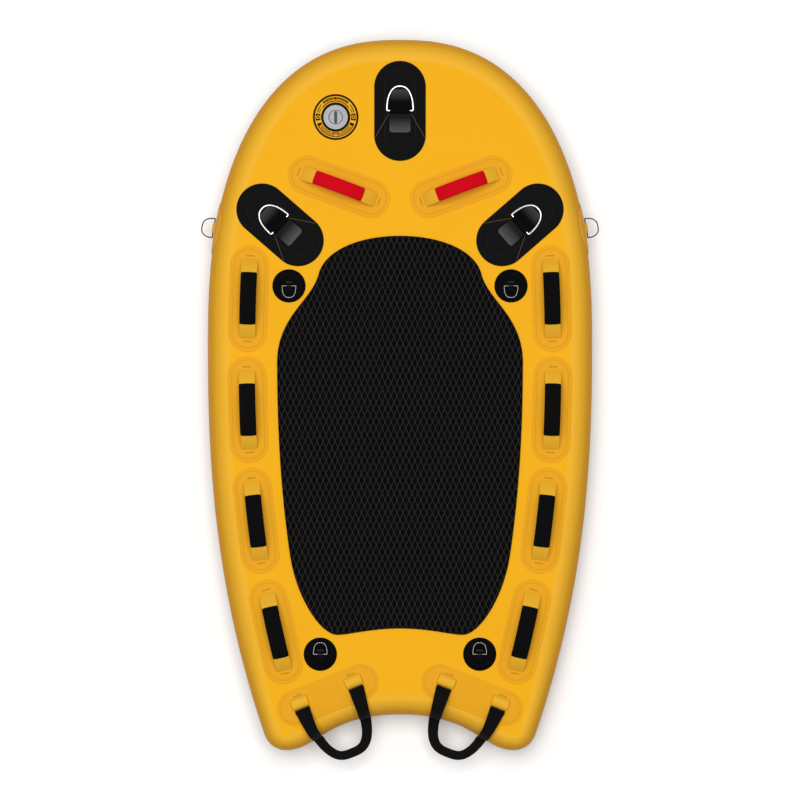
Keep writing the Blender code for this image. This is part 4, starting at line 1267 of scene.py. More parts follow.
@dataclass(frozen=True)
class TractionPad:
    """The foam pad: a domed head, shoulders that swing out to the sides, and a bowed rear."""

    wall: float = 0.005
    bevel: float = 0.0016
    rail_gap: float = 0.178
    front: float = 0.276
    rear: float = 0.826
    neck: float = 0.204
    head: float = 0.051
    shoulder: float = 0.183
    corner_start: float = 0.104
    corner: tuple[float, float] = (0.324, 0.009)
    head_pulls: Pairs = ((0.49, 0.0), (0.907, 0.019))
    shoulder_pulls: Pairs = ((1.08, 0.092), (1.54, 0.112))
    corner_pull: tuple[float, float] = (0.409, 0.009)
    bow_pulls: Pairs = ((0.264, 0.009), (0.150, 0.0))
    side_pull: float = 0.112
    spine_start: float = 0.15
    rows: int = 24
    points: int = 241

    def outline(self) -> Array:
        """The right half from the front to the rear: four curves and a side that keeps its gap from the rail.

        Returns:
            X and Y of the points.
        """
        front, rear = (FORM.nose - share * FORM.length for share in (self.front, self.rear))

        def near(points: Pairs, edge: float, half: float) -> list[tuple[float, float]]:
            """Shares of a half width and of the length, as points from an edge."""
            return [(half * x, edge - FORM.length * y) for x, y in points]

        line = FORM.right_outline()
        low = int(np.argmin(line[:, 1]))
        y = np.linspace(front - FORM.length * self.shoulder, rear + FORM.length * self.corner_start, 60)
        x = np.interp(y, line[:low, 1][::-1], line[:low, 0][::-1]) - self.rail_gap
        side = np.column_stack([x, y])
        head, *head_pulls = near([(1.0, self.head), *self.head_pulls], front, self.neck)
        shoulder_pulls = near(self.shoulder_pulls, front, self.neck)
        aft = unit(side[-1] - side[-2])
        corner_pulls = [tuple(side[-1] + self.side_pull * aft), *near([self.corner_pull], rear, FORM.half)]
        corner, *bow_pulls = near([self.corner, *self.bow_pulls], rear, FORM.half)
        parts = [
            bezier([(0.0, front), *head_pulls, head], 40)[:-1],
            bezier([head, *shoulder_pulls, tuple(side[0])], 40)[:-1],
            side[:-1],
            bezier([tuple(side[-1]), *corner_pulls, corner], 40)[:-1],
            bezier([corner, *bow_pulls, (0.0, rear)], 40),
        ]
        return resampled(np.vstack(parts), self.points)

    def build(self) -> None:
        """Makes the pad: rows from the centreline to the edge, a rounded rim and a flat underside."""
        right = self.outline()
        line, normal = mirrored(right)
        turn = np.linspace(0.0, np.pi / 2, 6)
        rim = [(self.bevel * (1 - math.sin(t)), self.wall - self.bevel * (1 - math.cos(t))) for t in turn]
        inset, height = np.array([*rim, (0.0, 0.0)]).T
        inner = line - normal * self.bevel
        along = spine(inner[: self.points, 1], right[-1, 1] + self.spine_start)
        middle = np.column_stack([np.zeros(len(line)), along])
        share = np.linspace(0.0, 1.0, self.rows)[:-1, None, None]
        flat = middle + (inner - middle) * share
        top, under = (raised(flat, np.full(len(flat), level)) for level in (self.wall, 0.0))
        grid = np.concatenate([top, raised(line - normal * inset[:, None, None], height), under[::-1]])
        skin = Skin().grid(Seat(0.0, 0.0).lay(grid), columns_close=True)
        Piece("foam_pad", skin, FOAM, stands_for=("traction_pad",)).place()
        log.info("traction pad: foam with diamond grooves")


# ---- Grab handles


class Grip(Enum):
    """The two colours of grab handle: cloth and width of the grip."""

    RED = (RED, 0.035)
    BLACK = (GRIP, 0.041)


HANDLE_PATCH = Finish(
    "Handle patch", linear(235, 168, 31), 0.5, "patch_yellow", specular=0.04, grain=0.00004,
    marks=seam_marks((0.08525, 0.04925), 0.0095, 0.0020, linear(217, 153, 27), (0.108, 0.0)),
)
TAIL_PATCH = Finish(
    "Tail patch", linear(235, 168, 31), 0.5, "patch_yellow", specular=0.04, grain=0.00004,
    marks=seam_marks((0.0895, 0.045), 0.0070, 0.0020, linear(219, 155, 28), (0.073, 0.027)),
)


@dataclass(frozen=True)
class GrabHandle:
    """A patch, two webbing roots that rise from it, and a padded sleeve between them."""

    node: str
    grip: Grip
    patch: Stadium = Stadium(0.269, 0.0985)
    wall: float = 0.0012
    step: float = 0.0005
    seam: float = 0.011
    span: float = 0.200
    rise: float = 0.047
    sleeve: float = 0.128
    thickness: float = 0.009
    root: float = 0.003
    root_reach: tuple[float, float] = (0.0615, 0.0985)
    root_low: float = 0.0014
    root_steps: int = 14
    flush: float = 0.06
    flush_share: float = 0.4
    bend: tuple[float, float] = (0.103, 0.064)
    pinch: float = 0.03
    pinch_share: float = 0.05

    @property
    def radius(self) -> float:
        """The radius of the round arch through both roots and the top."""
        return (self.span**2 / 4 + self.rise**2) / (2 * self.rise)

    def strap(self, start: float, end: float, steps: int) -> tuple[Array, Array]:
        """The arch's middle line between two places, and its outward directions.

        Args:
            start: The first place along the handle.
            end: The last place.
            steps: How many points.

        Returns:
            The line and the directions.
        """
        u = np.linspace(start, end, steps)
        sunk = self.radius - self.rise
        path = np.column_stack([u, np.zeros(steps), np.sqrt(np.maximum(self.radius**2 - u**2, 0.0)) - sunk])
        return path, (path + (0.0, 0.0, sunk)) / self.radius

    def build(self) -> None:
        """Makes the patch, both roots and the sleeve of this handle."""
        pivot = JointFrame.of(f"{self.node}_grip_lean")
        ahead = pivot.axes[0]
        seat = Seat(float(pivot.origin[0]), float(pivot.origin[1]), math.atan2(ahead[1], ahead[0]))
        place_patch(self.node, self.patch.fabric(self.seam, self.wall, self.step).moved(seat.lay), HANDLE_PATCH)
        finish, width = self.grip.value
        body = f"{self.node}_grip"
        base = float(seat.lay(np.zeros((1, 3)))[0, 2]) + self.wall + self.step
        frame_of = Seat(seat.x, seat.y, seat.angle, base - FORM.thickness)

        def raise_up(points: Array) -> Array:
            """Sets points over the patch without the rocker's bend."""
            return frame_of.lay(points) - FORM.lift(frame_of.lay(points)[..., 1:2]) * (0, 0, 1)

        share = np.linspace(0.0, 1.0, self.root_steps) / self.flush_share
        flush = 1 - self.flush * np.clip(1 - share, 0.0, 1.0)
        for end, word in ((-1, "aft"), (1, "fore")):
            path, out = self.strap(*(end * reach for reach in self.root_reach), self.root_steps)
            path[:, 2] = np.maximum(path[:, 2], self.root_low)
            skin = ribbon(path, AHEAD, out, width * flush, self.root).moved(raise_up)
            root = Piece(f"{self.node}_root_{word}", skin, TAB_YELLOW, None).place()
            low, high = raise_up(np.array([end * reach * ACROSS for reach in self.bend]))
            tuple(low)
            tuple(high)
            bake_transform(root)
        path, out = self.strap(-self.sleeve / 2, self.sleeve / 2, 41)
        away = np.abs(np.linspace(-1.0, 1.0, 41))
        near_end = np.clip((away - (1 - self.pinch_share)) / self.pinch_share, 0.0, 1.0)
        pinch = 1 - near_end**2 * self.pinch
        skin = self.sleeve_skin(path, out, width * pinch, self.thickness * pinch).moved(raise_up)
        made = Piece(f"{self.node}_sleeve", skin, finish, body, (body,), 60.0).place()

    def sleeve_skin(self, path: Array, out: Array, width: Array, thickness: Array) -> Skin:
        """A stuffed sleeve: a superellipse section of power 2.6 along the arch, with closed ends.

        Args:
            path: The middle line.
            out: Its outward directions.
            width: The sleeve's width, one a point.
            thickness: Its thickness, one a point.

        Returns:
            The sleeve.
        """
        first, second = superellipse(circle_angles(40), 2.6)
        wide = first[None] * width[:, None] / 2
        body = path[:, None] + wide[..., None] * AHEAD
        body = body + (second[None] * thickness[:, None] / 2)[..., None] * out[:, None]
        ends = [np.broadcast_to(path[i], body[:1].shape) for i in (0, -1)]
        return Skin().grid(np.concatenate([ends[0], body, ends[1]]), columns_close=True)


# ---- Tail handles


@dataclass(frozen=True)
class TailHandle:
    """A patch, two half-round covers, and one loop of webbing that hangs over the tail."""

    hand: Hand
    patch: Stadium = Stadium(0.269, 0.090)
    wall: float = 0.0012
    step: float = 0.0005
    seam: float = 0.011
    spacing: float = 0.1455
    cover: tuple[float, float, float] = (0.047, 0.030, 0.012)
    cover_ends: tuple[int, float] = (14, 1 / 5)
    cover_taper: tuple[float, float] = (0.55, 0.45)
    cover_sunk: float = 0.0004
    forward: float = 0.008
    roll: float = 0.006
    strap_width: float = 0.038
    strap_wall: float = 0.0025
    reach: float = 0.150
    fullness: float = 3.1
    narrowing: float = 0.12
    bulge: float = 0.026
    droop: float = 1.15
    twist: float = 50.0
    curls: Pairs = ((0.0, 0.001), (0.8, 0.0028))
    curl_turn: tuple[float, float] = (0.15, 2.05)
    curl_wall: float = 0.0018
    curl_extra: float = 0.001

    def loop(self, steps: int = 121) -> tuple[Array, Array]:
        """The strap's middle line, a superellipse half that also bows upwards, and its sideways directions.

        Args:
            steps: How many points.

        Returns:
            The line and the directions.
        """
        along, aft = superellipse(np.linspace(0.0, np.pi, steps), self.fullness)
        rise = self.bulge * np.sin(np.pi * np.minimum(np.abs(aft) * self.droop, 1.0))
        across = self.spacing / 2 * along * (1 - self.narrowing * np.abs(aft))
        path = np.column_stack([across, -self.reach * np.abs(aft), rise])
        path = resampled(path, steps)
        way = unit(np.gradient(path[:, :2], axis=0))
        out = np.column_stack([way[:, 1], -way[:, 0], np.zeros(steps)])
        out[[0, -1]] = (1.0, 0.0, 0.0), (-1.0, 0.0, 0.0)
        twist = np.radians(self.twist) * (1 - np.linspace(-1.0, 1.0, steps) ** 4)
        out = out * np.cos(twist)[:, None] + np.sin(twist)[:, None] * (0, 0, 1)
        return path, out

    def covers(self) -> Skin:
        """Two half-round covers: a dome section along each, ends rounded down.

        Returns:
            Both covers as one skin.
        """
        length, depth, height = self.cover
        top = self.wall + self.step
        turn = np.linspace(0.0, np.pi, 20)
        section = np.column_stack([depth / 2 * np.cos(turn), height * np.sin(turn)])
        section = np.vstack([section, [(side * depth / 2, -self.cover_sunk) for side in (-1, 1)]])
        share = np.linspace(-1.0, 1.0, 25)
        square, soft = self.cover_ends
        size = ((1 - np.abs(share) ** square) ** soft)[:, None]
        least, more = self.cover_taper
        ahead, up = self.forward + section[:, 0] * (least + more * size), top + section[:, 1] * size
        skin = Skin()
        for side in (-1, 1):
            along = (side * self.spacing / 2 + share * length / 2)[:, None]
            skin.grid(np.stack(np.broadcast_arrays(along, ahead, up), axis=-1), columns_close=True)
        return skin

    def build(self) -> None:
        """Makes the patch with its covers and the loop."""
        name = f"tail_handle_{self.hand.word}"
        pivot = JointFrame.of(f"{name}_strap_lift")
        centre = np.array(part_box(f"{name}_patch")).mean(axis=0)
        along = -pivot.axes[1]
        seat = Seat(float(centre[0]), float(centre[1]), math.atan2(-along[0], along[1]))
        place_patch(name, self.patch.fabric(self.seam, self.wall, self.step).moved(seat.lay), TAIL_PATCH)
        Piece(f"{name}_covers", self.covers().moved(seat.lay), TAB_YELLOW).place()
        back = self.forward - self.cover[1] / 2 - GAP - self.roll
        strap_seat = Seat(seat.x, seat.y, seat.angle, 2 * GAP + self.wall + self.step + self.roll)

        def behind(points: Array) -> Array:
            """Sets points from the strap's pivot."""
            return strap_seat.lay(points + (0.0, back, 0.0))

        path, out = self.loop()
        up = np.cross(out, unit(np.gradient(path, axis=0)))
        skin = ribbon(path, out, up, self.strap_width, self.strap_wall).moved(behind)
        turn = np.pi * np.linspace(*self.curl_turn, 30)
        for side in (-1, 1):
            for start, under in self.curls:
                out = np.column_stack([np.zeros(30), np.cos(turn + start), np.sin(turn + start)])
                curl = out * (self.roll - under) + side * self.spacing / 2 * ACROSS
                curl_width = self.strap_width + self.curl_extra
                skin.join(ribbon(curl, ACROSS, out, curl_width, self.curl_wall).moved(behind))
        Piece(f"{name}_webbing", skin, WEBBING, f"{name}_strap", (f"{name}_strap",)).place()


# ---- D-rings and their patches


@dataclass(frozen=True)
class RingSize:
    """A D-ring's outside size and wire, and the webbing that holds its bar."""

    width: float
    length: float
    wire: float
    tab: float
    fore: float
    aft: float
    wall: float
    bar: float
    fullness: float = 2.3

    def ring(self) -> Skin:
        """The ring: a superellipse arch over a straight bar, as one closed wire.

        Returns:
            The ring. Its bar's middle is the origin, and its crown points to +Y.
        """
        half, crown = self.width / 2 - self.wire / 2, self.length - self.wire
        along, high = superellipse(np.linspace(0.0, np.pi, 120), self.fullness)
        arch = np.column_stack([half * along, crown * np.abs(high)])
        clear, corner = self.wire * 1.3, self.wire * 1.1
        arch = arch[arch[:, 1] > clear]
        left = bezier([tuple(arch[-1]), (-half, 0.0), (-half, 0.0), (-half + corner, 0.0)], 10)[1:]
        line = resampled(np.vstack([arch, left, (left * (-1, 1))[::-1]]), 160, True)
        return tube(np.column_stack([line, np.zeros(len(line))]), self.wire / 2, 18, True, UP)

    def fold(self, lower: float = 0.0, narrow: float = 1.0) -> Skin:
        """The webbing over the bar: flat feet, two slopes and a rounded fold.

        Args:
            lower: How far the feet lie under the patch's top.
            narrow: The share of its width that the forward foot keeps.

        Returns:
            The folded webbing. Its zero height is the patch's top.
        """
        over = self.wire / 2 + self.wall / 2 + GAP
        high, foot = self.bar + over, self.wall / 2 - lower
        toe, brow, crest, soft = 0.62, (1.6, 0.86), 0.8, 1.5
        corners = [
            (-self.aft, foot), (-self.aft * toe, foot), (-over * brow[0], high * brow[1]), (-over * crest, high),
            (over * crest, high), (over * brow[0], high * brow[1]), (self.fore * toe, foot), (self.fore, foot),
        ]
        line = resampled(rounded(corners, over * soft, 6), 70)
        path = np.column_stack([np.zeros(len(line)), line])
        slope = unit(np.gradient(line, axis=0))
        up = np.column_stack([np.zeros(len(line)), -slope[:, 1], slope[:, 0]])
        share = np.clip(line[:, 0] / self.fore, 0.0, 1.0)
        width = self.tab * (1 - (1 - narrow) * share**3)
        return ribbon(path, ACROSS, up, width, self.wall)


class RingKind(Enum):
    """The four sizes of D-ring."""

    TOW = RingSize(0.071, 0.067, 0.005, 0.051, 0.054, 0.052, 0.002, 0.0137)
    DECK = RingSize(0.0365, 0.0315, 0.0022, 0.014, 0.012, 0.012, 0.0014, 0.0032, 2.6)
    RAIL = RingSize(0.052, 0.048, 0.003, 0.024, 0.014, 0.014, 0.0014, 0.0032, 2.6)
    HULL = RingSize(0.050, 0.0445, 0.004, 0.028, 0.014, 0.014, 0.0014, 0.0037, 2.6)


def ring_seat(joint: JointFrame, under: bool = False) -> Seat:
    """The seat of a ring's patch: its Y points to the ring's crown."""
    crown = joint.axes[1]
    return Seat(float(joint.origin[0]), float(joint.origin[1]), math.atan2(-crown[0], crown[1]), under=under)


TOW_PAD = Finish(
    "Tow pad fabric", linear(18, 18, 19), 0.5, "patch_black", specular=0.01, grain=0.00004,
    marks=seam_marks((0.060, 0.065), 0.026, 0.0016, linear(30, 30, 32)),
)
ROUND_PAD = Finish(
    "Round patch fabric", linear(8, 7, 8), 0.5, "patch_black", specular=0.01, grain=0.00004,
    marks=seam_marks((0.0, 0.042), 0.012, 0.0012, linear(24, 23, 25)),
)
HULL_PAD = Finish(
    "Hull patch fabric", linear(20, 19, 19), 0.5, "patch_black", specular=0.2, grain=0.00004,
    marks=seam_marks((0.0195, 0.0545), 0.018, 0.0014, linear(70, 66, 66)),
)
RAIL_PAD = Finish("Rail patch fabric", linear(235, 165, 30), 0.5, "patch_yellow", specular=0.15, grain=0.00004)


def place_ring(node: str, size: RingSize, joint: JointFrame, finish: Finish) -> None:
    """Makes a fitting's D-ring on its own body, in place of the CAD's."""
    body = f"{node}_ring"
    Piece(f"{node}_d_ring", size.ring().moved(joint.place), finish, body, (body,)).place()


@dataclass(frozen=True)
class TowPoint:
    """A long pad, a folded webbing with a grey flap, two thread lines and a large D-ring."""

    node: str
    pad: Stadium = Stadium(0.250, 0.130, 160)
    wall: float = 0.0015
    step: float = 0.0008
    seam: float = 0.024
    toe: float = 0.72
    flap_wall: float = 0.0012
    flap_width: float = 0.053
    flap_corner: float = 0.006
    flap_crest: Pairs = ((-0.009, 0.93), (-0.022, 0.45))
    flap_foot: Pairs = ((-0.030, 0.0012), (-0.0535, 0.0006))
    thread: float = 0.0004
    thread_out: tuple[float, float] = (0.027, 0.062)
    thread_aft: tuple[float, float] = (0.005, 0.060)
    thread_step: tuple[float, float] = (0.038, 0.044)

    def build(self) -> None:
        """Makes every piece of this tow point."""
        size = RingKind.TOW.value
        joint = JointFrame.of(f"{self.node}_ring_swing")
        seat = ring_seat(joint)
        turned_seat = Seat(seat.x, seat.y, seat.angle + math.pi / 2)
        place_patch(self.node, self.pad.fabric(self.seam, self.wall, self.step).moved(turned_seat.lay), TOW_PAD, "pad")
        top = Seat(seat.x, seat.y, seat.angle, self.wall + self.step + 2 * GAP)
        fold = size.fold(narrow=self.toe).moved(top.lay)
        Piece(f"{self.node}_fold", fold, TOW_WEBBING, stands_for=(f"{self.node}_webbing",)).place()
        # the flap's lighter grey is painted light on the fold's rear slope
        Piece(f"{self.node}_flap", self.flap(size).moved(top.lay), FLAP).place()
        Piece(f"{self.node}_threads", self.threads().moved(turned_seat.lay), THREAD).place()
        place_ring(self.node, size, joint, STEEL)

    def flap(self, size: RingSize) -> Skin:
        """The grey flap on the fold's rear slope: a band that follows it, its end corners rounded. Its grey, lighter
        than the black webbing, is painted light on that slope.

        Args:
            size: The ring's sizes.

        Returns:
            The flap.
        """
        lift = size.wall / 2 + self.flap_wall / 2 + size.wall / 2
        line = bezier([*((y, size.bar * share) for y, share in self.flap_crest), *self.flap_foot], 30)
        path = np.column_stack([np.zeros(30), line[:, 0], line[:, 1] + lift])
        slope = unit(np.gradient(line, axis=0))
        up = np.column_stack([np.zeros(30), slope[:, 1], -slope[:, 0]])
        reach = np.abs(line[:, 0] - line[-1, 0])
        corner = self.flap_corner
        cut = corner - np.sqrt(np.maximum(corner**2 - np.maximum(corner - reach, 0.0) ** 2, 0.0))
        return ribbon(path, ACROSS, up, self.flap_width - 2 * cut, self.flap_wall)

    def threads(self) -> Skin:
        """Two threads from the fold's sides down and out to the pad's edge. X runs along the pad.

        Returns:
            Both threads as one skin.
        """
        share = np.linspace(0.0, 1.0, 24)
        (near, far), (start, way) = self.thread_out, self.thread_aft
        out = near + (far - near) * share
        height = np.interp(out, self.thread_step, (self.wall + self.step, self.wall)) + self.thread / 2
        lines = (np.column_stack([-start - way * share, side * out, height]) for side in (-1, 1))
        return Skin().join(*(tube(line, self.thread, 8, False, UP) for line in lines))


DECK_PATCH = Stadium(0.084, 0.0839)
HULL_PATCH = Stadium(0.148, 0.109)


@dataclass(frozen=True)
class RingPatch:
    """A patch on the deck or the hull with a small D-ring under folded webbing."""

    node: str
    kind: RingKind
    pad: Stadium
    seam: float
    finish: Finish
    under: bool = False
    stitch_side: int = -1
    stitch: float = 0.0085
    thread: float = 0.0004
    wall: float = 0.0015
    step: float = 0.0008

    def build(self) -> None:
        """Makes the patch, its folded webbing, the stitch line and the ring."""
        size = self.kind.value
        joint = JointFrame.of(f"{self.node}_ring_swing")
        seat = ring_seat(joint, self.under)
        along = Seat(seat.x, seat.y, seat.angle + math.pi / 2, under=self.under)
        place_patch(self.node, self.pad.fabric(self.seam, self.wall, self.step).moved(along.lay), self.finish)
        top = Seat(seat.x, seat.y, seat.angle, GAP + self.wall + self.step, self.under)
        Piece(f"{self.node}_fold", size.fold().moved(top.lay), FLAP if self.under else WEBBING).place()
        crest = size.bar + size.wire / 2 + size.wall + GAP
        toe, over = 0.82, 0.46
        rows = ((self.stitch, self.stitch_side * size.aft * toe, size.wall), (size.tab * over, 0.0, crest))
        threads = Skin()
        for reach, ahead, height in rows:
            line = np.linspace(-reach, reach, 12)[:, None] * ACROSS + (0.0, ahead, height + self.thread / 4)
            threads.join(tube(line, self.thread, 8, False, UP))
        Piece(f"{self.node}_stitch", threads.moved(top.lay), THREAD_GREY).place()
        place_ring(self.node, size, joint, DULL_STEEL)


@dataclass(frozen=True)
class RailRing:
    """An oval patch that wraps the rail, with a D-ring that hangs from it."""

    hand: Hand
    pad: Stadium = Stadium(0.130, 0.100)
    wall: float = 0.0015
    step: float = 0.0006
    seam: float = 0.010
    sunk: float = 0.0008

    def build(self) -> None:
        """Makes the patch, the folded webbing and the ring."""
        size = RingKind.RAIL.value
        name = f"rail_ring_{self.hand.word}"
        joint = JointFrame.of(f"{name}_ring_swing")
        along = np.array([*joint.axes[0][:2], 0.0])
        out = np.array([self.hand.value * abs(along[1]), 0.0, 0.0])
        out[1] = -along[0] * out[0] / along[1]
        line = FORM.outline()[0]
        line = line[line[:, 0] * self.hand.value > FORM.half / 2]
        foot = joint.origin * (1, 1, 0)
        from_foot = np.column_stack([line, np.zeros(len(line))]) - foot
        s, w = from_foot @ along, from_foot @ out
        order = np.argsort(s)

        def wrap(points: Array) -> Array:
            """Bends the patch: out = the outline's own curve less what the round rail has turned away.

            Args:
                points: Points of the flat patch: along the rail, up it, and off its surface.

            Returns:
                The bent points.
            """
            level = np.clip(np.abs(points[..., 1]) / (FORM.thickness / 2), 0.0, 1.0)
            turned_away = FORM.rail_reach * (1 - (1 - level**FORM.rail_fullness) ** (1 / FORM.rail_fullness))
            edge = np.interp(points[..., 0], s[order], w[order])
            height = points[..., 2] + edge - turned_away + GAP
            flat = foot + points[..., :1] * along + height[..., None] * out
            return flat + (FORM.thickness / 2 + points[..., 1:2]) * UP + FORM.lift(joint.origin[1]) * UP

        top, half, slope = self.wall + self.step, self.pad.width / 2 - 0.00005, 0.001
        corners = [(half, top), (self.seam + slope, top), (self.seam - slope, self.wall), (0.0, self.wall),
                   (0.0, 0.0), (half, 0.0)]
        place_patch(name, self.pad.sweep(resampled(rounded(corners, 0.0006, 3), 60)).moved(wrap), RAIL_PAD)
        drop = (float(np.interp(0.0, s[order], w[order])) + top + GAP) * UP

        def hang(points: Array) -> Array:
            """Sets the folded webbing on the patch, its fold along the rail."""
            placed = points + drop
            return foot + placed[..., :1] * along + placed[..., 2:] * out + (joint.origin[2] - placed[..., 1:2]) * UP

        Piece(f"{name}_fold", size.fold(self.sunk).moved(hang), TAB_YELLOW).place()
        place_ring(name, size, joint, DARK_STEEL)


# ---- Valve


@dataclass(frozen=True)
class InkBand:
    """A printed arc: between two radii, and between two angles from the top, the same on both sides."""

    inner: float
    outer: float
    start: float
    end: float
    ticks: float = 0.0


class Ink(Enum):
    """The bands of the valve's printed ring. The marks are plain ticks, and spell nothing."""

    RIM = InkBand(0.0522, 0.0576, -1.0, 181.0)
    COLLAR = InkBand(0.0200, 0.0370, -1.0, 181.0)
    ARC = InkBand(0.0389, 0.0418, -1.0, 56.0)
    TOP_TICKS = InkBand(0.0437, 0.0504, -1.0, 43.0, 61.0)
    DOTS = InkBand(0.0458, 0.0492, 48.0, 76.0, 90.0)
    LOW_DOTS = InkBand(0.0412, 0.0440, 60.0, 76.0, 90.0)
    BLOCK = InkBand(0.0385, 0.0508, 79.0, 101.0)
    FOOT = InkBand(0.0385, 0.0500, 109.0, 119.0)
    INNER_ROW = InkBand(0.0383, 0.0416, 122.0, 162.0, 75.0)
    MIDDLE_ROW = InkBand(0.0428, 0.0458, 122.0, 176.0, 83.0)
    OUTER_ROW = InkBand(0.0468, 0.0504, 118.0, 181.0, 67.0)
    FOOT_NOTE = InkBand(0.0380, 0.0424, 166.0, 181.0, 71.0)


def within(graph: Graph, value: object, ends: tuple[float, float], soft: float) -> bpy.types.NodeSocket:
    """A mask that is 1 between two values and fades over soft.

    Args:
        graph: The graph that it goes into.
        value: What is measured.
        ends: The two values.
        soft: How wide each fade is.

    Returns:
        The mask's socket.
    """
    low, high = ends
    away = graph.math("ABSOLUTE", graph.math("SUBTRACT", value, (low + high) / 2))
    return graph.math("DIVIDE", graph.math("SUBTRACT", (high - low) / 2, away), soft, clamp=True)


def ink_nodes(graph: Graph, given: Sockets) -> Sockets:
    """The valve's print: every band of ink, its ticks cut by two sines, less a ring in the middle of each block.

    Args:
        graph: The group's graph.
        given: Its inputs.

    Returns:
        Its outputs.
    """
    soft_edge, soft_turn, symbol_width = 0.0003, 0.6, 0.0022
    rates, slow_share, level, crisp = (0.05, 0.0171), 0.5, 0.95, 3.0
    x, y, _ = graph.parts(given["Vector"])
    radius = graph.distance(x, y)
    turn = graph.math("DEGREES", graph.math("ABSOLUTE", graph.math("ARCTAN2", x, y)))
    total: object = 0.0
    for band in (entry.value for entry in Ink):
        ends = ((radius, (band.inner, band.outer), soft_edge), (turn, (band.start, band.end), soft_turn))
        mask = graph.math("MULTIPLY", *(within(graph, *facts) for facts in ends))
        if band.ticks:
            fast, slow = (graph.math("SINE", graph.math("MULTIPLY", turn, band.ticks * rate)) for rate in rates)
            both = graph.math("MULTIPLY_ADD", slow, slow_share, graph.math("ADD", fast, level))
            mask = graph.math("MULTIPLY", mask, graph.math("MULTIPLY", both, crisp, clamp=True))
        total = graph.math("MAXIMUM", total, mask)
    aside = graph.math("SUBTRACT", graph.math("ABSOLUTE", x), given["Symbol Place"])
    ring = graph.line(graph.distance(aside, y), given["Symbol Radius"], symbol_width)
    return {"Ink": graph.math("SUBTRACT", total, ring, clamp=True)}


INK = Effect("Valve print", {"Symbol Place": 0.0446, "Symbol Radius": 0.0036}, ("Ink",), ink_nodes)


def ink_marks(paint: Paint) -> None:
    """Dark ink over the deck's yellow."""
    paint.over(INK.place(paint.graph, paint.place["UV"])["Ink"], linear(22, 10, 4))


# painted shade: a darker ring in the cap's groove, drawn with the seam line
CAP_GROOVE_SHADE = seam_marks((0.0, 0.0305), 0.0128, 0.0034, linear(118, 121, 126))
PRINT = Finish("Valve print", linear(247, 179, 24), 0.5, "deck_yellow", specular=0.04, marks=ink_marks)
CAP = Finish("Valve cap", linear(178, 176, 179), 0.42, "valve_grey", specular=0.3, marks=CAP_GROOVE_SHADE)


